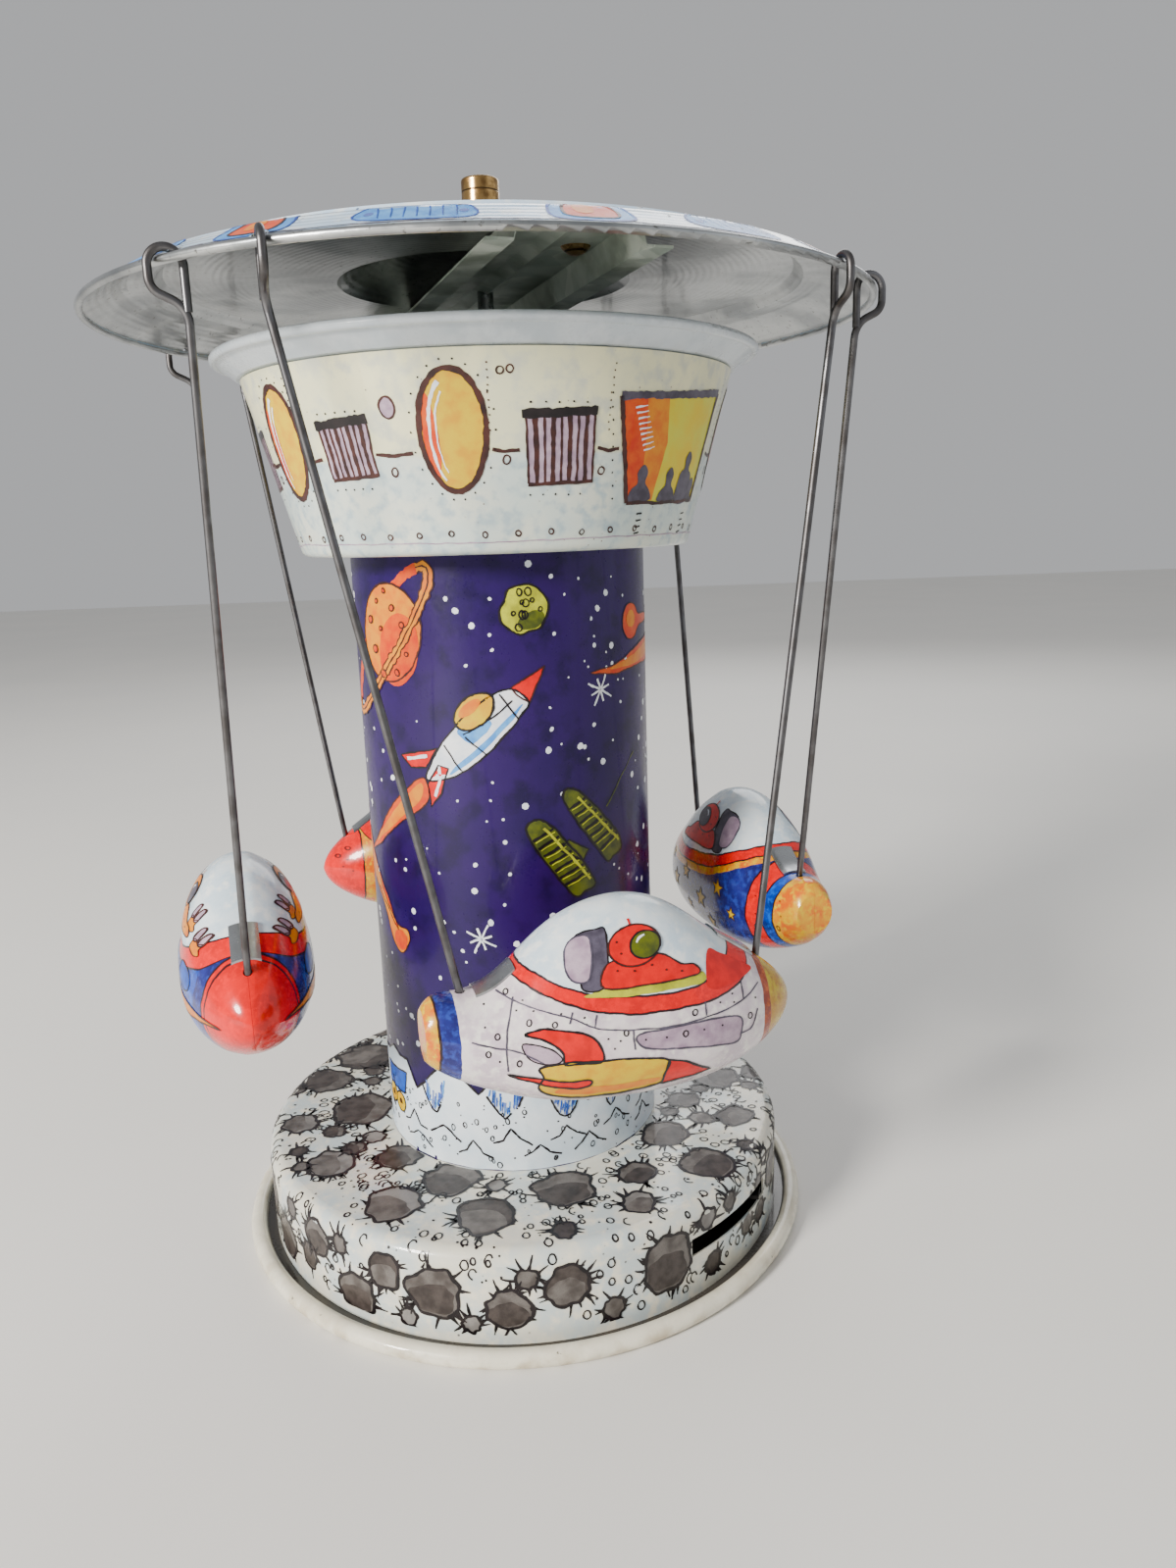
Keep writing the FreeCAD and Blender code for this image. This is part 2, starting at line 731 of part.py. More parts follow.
# ---------------------------------------------------------------- clockwork

def pitch_radius(teeth):
    return D["gear_module"] * teeth / 2


def great_offset():
    """Distance from the second arbor to the winding arbor."""
    return pitch_radius(D["great_teeth"]) + pitch_radius(D["pinion_teeth"])


def motor_place():
    """Clockwork frame: arbors along +X, turned a little from the row's +X."""
    return turned(-D["motor_turn"])


def spur_gear(teeth, thickness, phase):
    """Spur gear on +Z with narrow trapezoid teeth; phase puts a tooth at an angle in degrees."""
    module = D["gear_module"]
    pitch = pitch_radius(teeth)
    root = pitch - 1.2 * module
    tip = pitch + 0.9 * module
    step = 2 * math.pi / teeth
    root_half = step * 0.27
    tip_half = step * 0.12 * pitch / tip
    corners = []
    for tooth in range(int(teeth)):
        middle = math.radians(phase) + tooth * step
        for radius, angle in ((root, -root_half), (tip, -tip_half),
                              (tip, tip_half), (root, root_half)):
            turn = middle + angle
            corners.append(Vector(radius * math.cos(turn), radius * math.sin(turn), 0))
    face = Part.Face(Part.makePolygon(corners + corners[:1]))
    return face.extrude(Vector(0, 0, thickness))


def along_x(shape, start, across, height):
    """Lay a shape made on +Z along +X, starting at a distance from the spindle."""
    laid = shape.copy()
    laid.Placement = Placement(Vector(start, across, height), Rotation(Vector(1, 1, 1), 120))
    return laid


def rod(radius, start, end, across=0.0, height=None):
    level = D["arbor_height"] if height is None else height
    return Part.makeCylinder(radius, end - start, Vector(start, across, level), Vector(1, 0, 0))


def make_crown_wheel():
    """Contrate wheel whose teeth point at the spindle."""
    level = D["arbor_height"]
    pitch = pitch_radius(D["crown_teeth"])
    tip = 2.55
    root = 4.0
    rim = pitch + 0.8
    tooth_foot = pitch - 0.8
    tooth_height = 1.5
    hub_radius = 2.6
    half_foot = 0.48
    half_tip = 0.26
    solid = rod(rim, root, root + 1.0)
    solid = solid.fuse(rod(hub_radius, root, D["plate_front"] - 0.2))
    teeth = []
    for tooth in range(int(D["crown_teeth"])):
        corners = [Vector(x, y, level + tooth_foot)
                   for x, y in ((root + 0.2, -half_foot), (tip, -half_tip),
                                (tip, half_tip), (root + 0.2, half_foot))]
        face = Part.Face(Part.makePolygon(corners + corners[:1]))
        prism = face.extrude(Vector(0, 0, tooth_height))
        prism.rotate(Vector(0, 0, level), Vector(1, 0, 0), 360.0 * tooth / D["crown_teeth"])
        teeth.append(prism)
    solid = solid.fuse(teeth)
    solid = solid.cut(rod(D["second_arbor_radius"], 0, 20))
    feature_from("crown_wheel", solid.removeSplitter(), motor_place())


def make_second_arbor():
    arbor = rod(D["second_arbor_radius"], 4.1, D["plate_rear"] + 1.4)
    feature_from("second_arbor", arbor, motor_place())
    pinion = spur_gear(D["pinion_teeth"], 4.0, -90 - 90)
    laid = along_x(pinion, 10.6, 0, D["arbor_height"])
    laid = laid.cut(rod(D["second_arbor_radius"], 0, 40))
    feature_from("second_pinion", laid, motor_place())


def make_winding_arbor():
    """Winding arbor with its square end, and the great wheel that it carries."""
    across = -great_offset()
    level = D["arbor_height"]
    arbor = rod(D["arbor_radius"], D["plate_front"] - 1.2, 58, across)
    half = D["square_side"] / 2
    square = box_shape(Vector(57, across - half, level - half),
                       Vector(D["arbor_end"], across + half, level + half))
    arbor = arbor.fuse(square.common(rod(D["arbor_radius"] + 0.2, 50, 80, across)))
    feature_from("winding_arbor", arbor.removeSplitter(), motor_place())
    half_step = 180.0 / D["great_teeth"]
    wheel = along_x(spur_gear(D["great_teeth"], 1.2, half_step), 12.0, across, level)
    wheel = wheel.fuse(rod(3.4, 11.0, 14.6, across))
    wheel = wheel.cut(rod(D["arbor_radius"], 0, 40, across))
    for opening in range(4):
        hole = rod(1.6, 10, 15, across, level + 6.0)
        hole.rotate(Vector(0, across, level), Vector(1, 0, 0), 45 + 90 * opening)
        wheel = wheel.cut(hole)
    feature_from("great_wheel", wheel, motor_place())


def make_motor_plates():
    low = D["floor_height"] + D["tin"]
    across = -great_offset()
    level = D["arbor_height"]
    top = D["plate_top"]
    corners = ((-25, low), (7.5, low), (7.5, top - 3), (4.5, top), (-15.6, top),
               (-18.6, top - 3), (-18.6, level + 0.6), (-25, 9))
    for name, start in (("front_motor_plate", D["plate_front"]),
                        ("rear_motor_plate", D["plate_rear"])):
        points = [Vector(start, y, z) for y, z in corners]
        face = Part.Face(Part.makePolygon(points + points[:1]))
        plate = face.extrude(Vector(D["plate_thickness"], 0, 0))
        plate = plate.cut(rod(D["second_arbor_radius"] + D["gap"], 0, 40))
        plate = plate.cut(rod(D["arbor_radius"] + D["gap"], 0, 40, across))
        for y, z in pillar_places():
            plate = plate.cut(rod(D["pillar_radius"] * 0.7, 0, 40, y, z))
        foot = box_shape(Vector(start, -6, low), Vector(start + 6.2, 6, low + 0.8))
        if start < 15:
            foot = box_shape(Vector(start, 3.4, low), Vector(start + 6.2, 7.5, low + 0.8))
        feature_from(name, plate.fuse(foot).removeSplitter(), motor_place())


def pillar_places():
    low = D["floor_height"] + D["tin"]
    return ((5.6, low + 3.0), (4.0, D["plate_top"] - 2.0), (-22.6, low + 2.6))


def make_pillars():
    inner = D["plate_front"] + D["plate_thickness"]
    pillars = []
    for y, z in pillar_places():
        body = rod(D["pillar_radius"], inner, D["plate_rear"], y, z)
        pin = rod(D["pillar_radius"] * 0.7, D["plate_front"] - 0.5,
                  D["plate_rear"] + D["plate_thickness"] + 0.5, y, z)
        pillars.append(body.fuse(pin).removeSplitter())
    feature_from("motor_pillars", Part.makeCompound(pillars), motor_place())


def make_mainspring():
    """Flat spiral spring around the winding arbor, half run down."""
    thickness = 0.35
    inner = D["arbor_radius"] + 0.5
    turns = D["spring_turns"]
    growth = (D["spring_outer"] - inner - thickness) / turns
    per_turn = 16
    count = int(turns * per_turn)
    edges = []
    rows = []
    for extra in (0.0, thickness):
        row = []
        for step in range(count + 1):
            share = step / per_turn
            radius = inner + growth * share + extra
            angle = 2 * math.pi * share
            row.append(Vector(radius * math.cos(angle), radius * math.sin(angle), 0))
        rows.append(row)
        curve = Part.BSplineCurve()
        curve.interpolate(row)
        edges.append(curve.toShape())
    edges.append(Part.LineSegment(rows[0][0], rows[1][0]).toShape())
    edges.append(Part.LineSegment(rows[0][-1], rows[1][-1]).toShape())
    face = Part.Face(Part.Wire(Part.__sortEdges__(edges)))
    coil = face.extrude(Vector(0, 0, D["spring_width"]))
    laid = along_x(coil, 16.0, -great_offset(), D["arbor_height"])
    feature_from("mainspring", laid, motor_place())


def make_spindle_pinion():
    level = D["arbor_height"] + pitch_radius(D["crown_teeth"])
    half_step = 180.0 / D["pinion_teeth"]
    gear = spur_gear(D["pinion_teeth"], 2.4, half_step - D["motor_turn"])
    gear.translate(Vector(0, 0, level - 1.1))
    gear = gear.cut(Part.makeCylinder(D["spindle_foot_radius"], 6, Vector(0, 0, level - 3)))
    feature_from("spindle_pinion", gear)


# ---------------------------------------------------------------- brake lever

def lever_pivot():
    return Vector(D["lever_pivot_across"], -D["lever_pivot_front"], D["lever_height"])


def lever_arm(length, width, angle):
    bar = box_shape(Vector(0, -width / 2, 0), Vector(length, width / 2, D["lever_thickness"]))
    bar.rotate(ORIGIN, AXIS_Z, angle)
    return bar


def make_brake_lever():
    """Bent strip that pivots on a post, with its tip in the drum's slot."""
    lever = Part.makeCylinder(3.2, D["lever_thickness"])
    lever = lever.fuse([lever_arm(D["lever_outer_length"], 5.0, D["lever_outer_angle"]),
                        lever_arm(D["lever_inner_length"], 3.0, D["lever_inner_angle"])])
    hole = Part.makeCylinder(D["post_radius"] + D["gap"], 4, Vector(0, 0, -1))
    lever = lever.cut(hole).removeSplitter()
    feature_from("brake_lever", lever, Placement(lever_pivot(), Rotation()))
    low = D["floor_height"] + D["tin"]
    centre = lever_pivot()
    centre.z = low
    top = D["lever_height"] + D["lever_thickness"] + 0.15
    post = Part.makeCylinder(D["post_radius"], top - low + 0.8, centre)
    shoulder = Part.makeCylinder(3.0, D["lever_height"] - 0.15 - low, centre)
    head = Part.makeCylinder(2.6, 0.8, Vector(centre.x, centre.y, top))
    feature_from("lever_post", post.fuse([shoulder, head]).removeSplitter())


# ---------------------------------------------------------------- build

def check(obj):
    states = [state for state in obj.State if state in ("Invalid", "Error")]
    if states:
        raise RuntimeError("%s is %s" % (obj.Label, states))


def main():
    make_base_plate()
    make_base_housing()
    make_column()
    make_head_shell()
    make_head_lid()
    make_bushes()
    make_canopy()
    make_cross_beam()
    make_beam_rivets()
    make_hub()
    make_spindle()
    make_gondolas()
    make_crown_wheel()
    make_second_arbor()
    make_winding_arbor()
    make_motor_plates()
    make_pillars()
    make_mainspring()
    make_spindle_pinion()
    make_brake_lever()
    doc.recompute()
    for obj in doc.Objects:
        check(obj)
    for part in subparts:
        if part.Shape.isNull() or not part.Shape.isValid():
            raise RuntimeError(part.Label + " has no valid shape")
    os.makedirs("parts", exist_ok=True)
    for part in subparts:
        part.Shape.exportStep("parts/%s.step" % part.Label)
        print("%-28s %9.1f mm3" % (part.Label, part.Shape.Volume))


main()
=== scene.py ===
"""Wind-up tin space carousel: finishes, printed artwork, studio light and camera.

The CAD parts keep their shapes and get a procedural finish each.  The litho prints are thin
skins of ink laid on the tin they decorate.  Drawings are in millimetres, and MM turns them into
Blender's metres.  Azimuths run from the front (-Y) towards +X.
"""
import json
import math
import random

import bpy
from mathutils import Matrix, Vector, geometry, noise
from mathutils.bvhtree import BVHTree


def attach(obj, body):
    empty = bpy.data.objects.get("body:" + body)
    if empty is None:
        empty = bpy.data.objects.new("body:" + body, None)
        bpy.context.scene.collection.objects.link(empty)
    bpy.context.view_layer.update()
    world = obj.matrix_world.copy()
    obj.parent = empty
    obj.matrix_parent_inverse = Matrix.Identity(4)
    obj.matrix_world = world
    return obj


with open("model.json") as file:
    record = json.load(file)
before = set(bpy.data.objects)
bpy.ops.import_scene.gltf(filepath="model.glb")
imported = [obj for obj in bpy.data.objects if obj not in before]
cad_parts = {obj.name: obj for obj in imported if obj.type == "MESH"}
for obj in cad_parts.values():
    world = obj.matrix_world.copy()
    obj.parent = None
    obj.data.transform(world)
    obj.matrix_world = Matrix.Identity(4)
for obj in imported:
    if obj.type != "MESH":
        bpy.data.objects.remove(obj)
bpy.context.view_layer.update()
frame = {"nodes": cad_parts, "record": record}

MM = 0.001
SKIN = 0.05            # height of the first ink over the tin
LAYER = 0.03           # height of each further ink over the one below
FULL_TURN = 2 * math.pi

COLUMN_RADIUS = 38.0
HEAD_MIDDLE_RADIUS = 55.0
HEAD_LOW, HEAD_HIGH = (49.4, 184.2), (60.8, 225.7)
HOUSING_RADIUS, HOUSING_TOP, HOUSING_ROUND = 72.3, 26.4, 3.5
HOUSING_PRINT_FOOT = 4.6
GONDOLA_AZIMUTH = 13.5
HULL_DISTANCE = 72.95
HULL_HALF_WIDTH = 10

# Rays that lay the drawings on the tin: where they start in front of it, and how far they reach.
PROBE_START, PROBE_REACH = 3, 8
HULL_PROBE_START, HULL_PROBE_REACH = 16, 40
CANOPY_PROBE_HEIGHT, CANOPY_PROBE_REACH = 300, 80


def srgb(red, green, blue, strength=1.35):
    """Linear colour of an 8-bit screen colour, made a little stronger for the soft film look."""
    parts = [value / 255 for value in (red, green, blue)]
    parts = [p / 12.92 if p <= 0.04045 else ((p + 0.055) / 1.055) ** 2.4 for p in parts]
    grey = 0.2126 * parts[0] + 0.7152 * parts[1] + 0.0722 * parts[2]
    return tuple(min(max(grey + (p - grey) * strength, 0.0), 1.0) for p in parts) + (1.0,)


def tones(*colours, strength=1.35):
    return tuple(srgb(*colour, strength) for colour in colours)


# ------------------------------------------------------------------ finishes

class Finish:
    """A procedural material, built node by node."""

    def __init__(self, name, metallic=0.0, coat=0.0):
        self.material = bpy.data.materials.new(name)
        self.material.use_nodes = True
        self.tree = self.material.node_tree
        self.shader = self.tree.nodes["Principled BSDF"]
        for socket, value in (("Metallic", metallic), ("Coat Weight", coat),
                              ("Coat Roughness", 0.08), ("Specular IOR Level", 0.25)):
            self.shader.inputs[socket].default_value = value
        places = self.node("TexCoord")
        self.spot = self.product(places.outputs["Object"], (1 / MM, 1 / MM, 1 / MM))
        self.facing = places.outputs["Normal"]

    def node(self, kind, **settings):
        made = self.tree.nodes.new("ShaderNode" + kind)
        for key, value in settings.items():
            setattr(made, key, value)
        return made

    def feed(self, socket, value):
        if isinstance(value, bpy.types.NodeSocket):
            self.tree.links.new(value, socket)
        else:
            socket.default_value = value

    def wired(self, kind, values, output=0, **settings):
        """Adds a node, fills or links its inputs, and gives one of its outputs."""
        made = self.node(kind, **settings)
        for socket, value in values.items():
            self.feed(made.inputs[socket], value)
        return made.outputs[output]

    def product(self, vector, factors):
        return self.wired("VectorMath", {0: vector, 1: factors}, operation="MULTIPLY")

    def math(self, operation, *values):
        return self.wired("Math", dict(enumerate(values)), operation=operation)

    def split(self, vector):
        made = self.node("SeparateXYZ")
        self.feed(made.inputs[0], vector)
        return made.outputs

    def radius(self):
        """Distance from the toy's axis."""
        along, across, _ = self.split(self.spot)
        return self.math("SQRT", self.math("ADD", self.math("POWER", along, 2.0),
                                           self.math("POWER", across, 2.0)))

    def noise(self, size, detail=3.0, stretch=None):
        """Soft cloud of a feature size in millimetres, 0 to 1."""
        at = self.product(self.spot, stretch) if stretch else self.spot
        return self.wired("TexNoise", {"Vector": at, "Scale": 1 / size, "Detail": detail}, "Fac")

    def cells(self, size, output="Distance"):
        """Scattered cells of a size in millimetres."""
        return self.wired("TexVoronoi", {"Vector": self.spot, "Scale": 1 / size}, output)

    def step(self, value, low, high):
        """Smooth rise from 0 to 1 as a value goes from low to high."""
        return self.wired("MapRange", {"Value": value, "From Min": low, "From Max": high},
                          interpolation_type="SMOOTHSTEP")

    def scaled(self, value, low, high):
        """A 0 to 1 value spread over another range."""
        return self.wired("MapRange", {"Value": value, "To Min": low, "To Max": high})

    def mix(self, factor, first, second):
        return self.wired("Mix", {0: factor, 6: first, 7: second}, 2, data_type="RGBA")

    def colour(self, value):
        self.feed(self.shader.inputs["Base Color"], value)

    def roughness(self, value):
        self.feed(self.shader.inputs["Roughness"], value)

    def bump(self, height, depth, strength=1.0):
        bumps = self.wired("Bump", {"Distance": depth * MM, "Strength": strength, "Height": height})
        self.feed(self.shader.inputs["Normal"], bumps)

    def lacquer(self, low=0.24, high=0.42):
        """Roughness and faint waviness of a printed, varnished tin surface."""
        smears = self.noise(9.0, 4.0)
        fine = self.noise(0.9, 2.0)
        self.roughness(self.scaled(self.math("MULTIPLY", smears, fine), low, high + 0.25))
        self.bump(self.noise(5.0, 2.0), 0.10, 0.35)

    def specks(self, base, tone, size, amount):
        """Fine printed dots, thinned out by a cloud."""
        near = self.math("SUBTRACT", amount, self.cells(size))
        patchy = self.step(self.noise(size * 4), 0.42, 0.58)
        dots = self.math("MULTIPLY", self.step(near, 0.0, 0.06), patchy)
        return self.mix(dots, base, tone)


def washed(finish, trio, size):
    """Watercolour mottling: three tones blended by two clouds."""
    first, second, third = trio
    soft = finish.step(finish.noise(size, 4.0), 0.36, 0.62)
    fine = finish.step(finish.noise(size * 0.28, 5.0), 0.45, 0.70)
    return finish.mix(fine, finish.mix(soft, first, second), third)


def moon_print(name):
    """Base cover: mottled pale ground with fine printed specks."""
    finish = Finish(name, coat=0.7)
    base = washed(finish, tones((214, 212, 200), (192, 200, 200), (224, 220, 206)), 12.0)
    finish.colour(finish.specks(base, srgb(40, 34, 34), 3.4, 0.12))
    finish.lacquer()
    return finish.material


def ink(name, colour, wash, strength=1.35, size=3.0):
    """A printing ink that pools darker in places."""
    finish = Finish("ink_" + name, coat=0.2)
    colour, wash = tones(colour, wash, strength=strength)
    pools = finish.step(finish.noise(size, 4.0), 0.34, 0.70)
    grain = finish.step(finish.noise(0.35, 2.0), 0.35, 0.80)
    body = finish.mix(pools, colour, wash)
    finish.colour(finish.mix(finish.math("MULTIPLY", grain, 0.30), body, wash))
    finish.lacquer(0.26, 0.40)
    return finish.material


def metal(name, bright, dull, smooth, rough, stretch=(1, 1, 1), size=4.0, bump=0.02):
    """Bare metal with drawn or rolled grain and dull patches."""
    finish = Finish(name, metallic=1.0)
    bright, dull = tones(bright, dull)
    patches = finish.step(finish.noise(size, 5.0), 0.35, 0.68)
    grain = finish.noise(0.5, 3.0, stretch)
    tone = finish.mix(patches, bright, dull)
    finish.colour(finish.mix(finish.math("MULTIPLY", grain, 0.35), tone, dull))
    finish.roughness(finish.scaled(finish.math("ADD", finish.math("MULTIPLY", grain, 0.4),
                                               finish.math("MULTIPLY", patches, 0.6)), smooth, rough))
    finish.bump(grain, bump)
    return finish.material


def turned_brass(name):
    """Brass turned on a lathe: fine rings up the side, tarnish in patches."""
    finish = Finish(name, metallic=1.0)
    height = finish.split(finish.spot)[2]
    rings = finish.math("SINE", finish.math("MULTIPLY", height, FULL_TURN / 3.3))
    tarnish = finish.step(finish.noise(2.5, 5.0), 0.40, 0.66)
    bright = finish.mix(tarnish, srgb(186, 150, 96, 1.0), srgb(118, 90, 54, 1.0))
    groove = finish.step(rings, -1.0, -0.90)
    finish.colour(finish.mix(groove, srgb(78, 58, 36, 1.0), bright))
    finish.roughness(finish.scaled(tarnish, 0.18, 0.42))
    finish.bump(groove, 0.06)
    return finish.material


def zinc(name):
    """Hot-dip zinc: spangled grey-green sheet."""
    finish = Finish(name, metallic=0.45)
    spangle = finish.cells(6.0, "Color")
    tone = finish.split(spangle)[0]
    cloud = finish.noise(14.0, 4.0)
    base = finish.mix(tone, srgb(164, 174, 166), srgb(206, 212, 204))
    finish.colour(finish.mix(finish.step(cloud, 0.40, 0.65), base, srgb(140, 148, 138)))
    finish.roughness(finish.scaled(tone, 0.40, 0.60))
    finish.bump(finish.noise(1.2, 4.0), 0.04)
    return finish.material


def hull_print(name):
    """Head: cream plates above the waist line, blue-grey below, with fine specks."""
    finish = Finish(name, coat=0.6)
    height = finish.split(finish.spot)[2]
    waist = finish.math("ADD", height, finish.math("MULTIPLY", finish.noise(9.0), 2.6))
    cream = washed(finish, tones((226, 224, 194), (214, 214, 188), (196, 198, 184)), 15.0)
    cool = washed(finish, tones((196, 206, 202), (210, 214, 204), (168, 182, 186)), 11.0)
    both = finish.mix(finish.step(waist, 206.0, 207.4), cool, cream)
    finish.colour(finish.specks(both, srgb(120, 112, 104), 2.6, 0.10))
    finish.lacquer()
    return finish.material


def canopy_print(name):
    """Canopy: a glossy print on top, duller bare spun tin below and on the hem."""
    finish = Finish(name, coat=0.35)
    radius = finish.radius()
    up = finish.split(finish.facing)[2]
    printed = finish.math("MULTIPLY", finish.step(up, 0.02, 0.10), finish.step(radius, 93.9, 93.6))
    sky = washed(finish, tones((206, 220, 232), (186, 206, 226), (226, 232, 234)), 16.0)
    sky = finish.specks(sky, srgb(84, 96, 124), 3.2, 0.13)
    rings = finish.math("SINE", finish.math("MULTIPLY", radius, FULL_TURN / 1.7))
    haze = finish.step(finish.noise(17.0, 5.0), 0.36, 0.66)
    tin = finish.mix(haze, srgb(188, 190, 190), srgb(140, 143, 145))
    tin = finish.mix(finish.step(finish.noise(1.1, 5.0), 0.60, 0.74), tin, srgb(112, 112, 110))
    finish.colour(finish.mix(printed, tin, sky))
    finish.feed(finish.shader.inputs["Metallic"], finish.math("SUBTRACT", 1.0, printed))
    dull = finish.scaled(finish.noise(6.0), 0.24, 0.42)
    finish.roughness(finish.wired("Mix", {0: printed, 2: dull, 3: 0.0}, data_type="FLOAT"))
    finish.bump(finish.math("ADD", rings, finish.math("MULTIPLY", finish.noise(7.0), 6.0)), 0.03)
    return finish.material


def night_print(name):
    """Column: deep indigo sky with purple drifts."""
    finish = Finish(name, coat=0.15)
    base = washed(finish, tones((28, 12, 62), (35, 15, 70), (20, 9, 48)), 22.0)
    grain = finish.step(finish.noise(0.5, 2.0), 0.5, 0.8)
    finish.colour(finish.mix(finish.math("MULTIPLY", grain, 0.25), base, srgb(42, 24, 86)))
    finish.lacquer(0.22, 0.36)
    return finish.material


def enamel(name, tone, shade, dirt, dirt_low, dirt_high, shaded_groove_radius=0.0):
    """Stoved enamel with grubby patches near the table, and painted shade inside a groove's radius."""
    finish = Finish(name, coat=0.5)
    height = finish.split(finish.spot)[2]
    tone, shade, dirt = tones(tone, shade, dirt)
    base = washed(finish, (tone, shade, tone), 18.0)
    low = finish.step(height, dirt_high, dirt_low)
    patch = finish.math("MULTIPLY", finish.step(finish.noise(7.0, 5.0), 0.42, 0.66), low)
    chips = finish.step(finish.noise(2.2, 5.0), 0.71, 0.74)
    base = finish.mix(finish.math("MULTIPLY", patch, 0.65), base, dirt)
    base = finish.mix(chips, base, srgb(120, 116, 104))
    # painted shade: the enamel goes dark inside the groove's radius, where the gap by the bead lies in
    # shadow
    groove = finish.step(finish.radius(), shaded_groove_radius + 0.4, shaded_groove_radius - 0.4)
    finish.colour(finish.mix(groove, base, srgb(58, 54, 50)))
    finish.lacquer(0.20, 0.38)
    return finish.material


def curve_of(finish, value, points):
    """A drawn curve: height in millimetres over the distance along the hull."""
    made = finish.node("FloatCurve")
    line = made.mapping.curves[0].points
    reach, floor, rise = 50.0, 60.0, 65.0
    spread = [((along + reach) / (2 * reach), (height - floor) / rise) for along, height in points]
    line[0].location = spread[0]
    line[-1].location = spread[-1]
    for place in spread[1:-1]:
        line.new(*place)
    made.mapping.update()
    finish.feed(made.inputs["Value"], finish.math("MULTIPLY_ADD", value, 0.5 / reach, 0.5))
    return finish.math("MULTIPLY_ADD", made.outputs[0], rise, floor)


SILL = ((-50, 124), (-24, 104.5), (-21, 101.8), (-15, 98.8), (-10, 96.6), (-5, 95), (0, 94.2),
        (8, 93.4), (15, 93.2), (20, 93.8), (25, 95.6), (31, 99.5), (35, 106), (50, 124))
WAIST = ((-50, 124), (-27, 105), (-22.5, 99.6), (-17, 96.6), (-12, 94.2), (-7, 92.3), (-2, 90.9),
         (5, 90.0), (14, 89.6), (20, 89.7), (27, 90.6), (31, 92), (36, 98), (50, 124))


def rocket_paint(name, azimuth, look):
    """Gondola shell: hull, tail and nose bands, waist stripe, and the pale glazed dome."""
    finish = Finish(name, coat=0.5)
    turn = finish.node("VectorRotate", rotation_type="Z_AXIS")
    finish.feed(turn.inputs["Vector"], finish.spot)
    turn.inputs["Angle"].default_value = -math.radians(azimuth)
    along, _, height = finish.split(turn.outputs[0])
    unsteady = 0.9
    wander = finish.math("MULTIPLY_ADD", finish.noise(4.0), unsteady, -unsteady / 2)
    along = finish.math("ADD", along, wander)
    height = finish.math("ADD", height, wander)
    paint = washed(finish, look["hull"], 7.0)
    for low, high, trio in look["bands"]:
        inside = finish.math("MULTIPLY", finish.step(along, low - 0.05, low + 0.05),
                             finish.step(along, high + 0.05, high - 0.05))
        paint = finish.mix(inside, paint, washed(finish, trio, 5.0))
    above_waist = finish.math("SUBTRACT", height, curve_of(finish, along, WAIST))
    above_sill = finish.math("SUBTRACT", height, curve_of(finish, along, SILL))
    for level, trio in look["stripes"]:
        over = finish.math("SUBTRACT", above_waist, level)
        paint = finish.mix(finish.step(over, -0.05, 0.05), paint, washed(finish, trio, 4.0))
    glass = washed(finish, GLASS, 9.0)
    paint = finish.mix(finish.step(above_sill, -0.05, 0.05), paint, glass)
    lines = [above_waist, above_sill]
    for edge in look["inked_edges"]:
        lines.append(finish.math("SUBTRACT", along, edge))
    for line in lines:
        near = finish.math("ABSOLUTE", line)
        paint = finish.mix(finish.step(near, 0.34, 0.16), paint, srgb(34, 20, 22))
    finish.colour(paint)
    finish.lacquer(0.16, 0.30)
    return finish.material


NAVY = tones((38, 42, 110), (30, 30, 84), (52, 66, 140))
RED = tones((202, 30, 8), (180, 22, 8), (214, 48, 16))
ORANGE = tones((212, 158, 0), (206, 96, 0), (214, 182, 0), strength=1.1)
OLIVE = tones((204, 176, 20), (188, 138, 20), (170, 108, 30), strength=1.0)
BLUE = tones((34, 60, 148), (26, 38, 98), (48, 96, 190))
GLASS = tones((222, 230, 234), (198, 212, 222), (232, 236, 236))
MAUVE = tones((222, 214, 216), (196, 184, 192), (230, 226, 222))
GOLD = tones((212, 170, 0), (206, 134, 0), (214, 188, 0), strength=1.1)
BROWN = tones((150, 70, 46), (120, 52, 40), (180, 100, 60))

LOOKS = {
    1: {"hull": MAUVE, "stripes": ((0.0, RED),),
        "bands": ((-60, -36.4, ORANGE), (-36.4, -32.3, NAVY), (35.8, 38.0, BROWN),
                  (38.0, 60, OLIVE)),
        "inked_edges": (-36.4,)},
    2: {"hull": NAVY, "stripes": ((-2.4, ORANGE), (0.0, RED)),
        "bands": ((-60, -31.5, ORANGE), (-31.5, -27.8, BLUE), (-27.8, -22.0, RED),
                  (34.0, 60, RED)),
        "inked_edges": (-31.5, -27.8, -22.0, 34.0)},
    3: {"hull": GOLD, "stripes": ((0.0, RED),),
        "bands": ((-60, -34.0, BLUE), (-34.0, -30.0, RED), (31.5, 34.5, ORANGE),
                  (34.5, 60, RED)),
        "inked_edges": (-34.0, -30.0, 34.5)},
    4: {"hull": BLUE, "stripes": ((0.0, RED),),
        "bands": ((-60, -35.0, ORANGE), (-35.0, -31.0, NAVY), (30.0, 60, NAVY),
                  (34.4, 60, RED)),
        "inked_edges": (-35.0, 34.4, 35.8)},
}


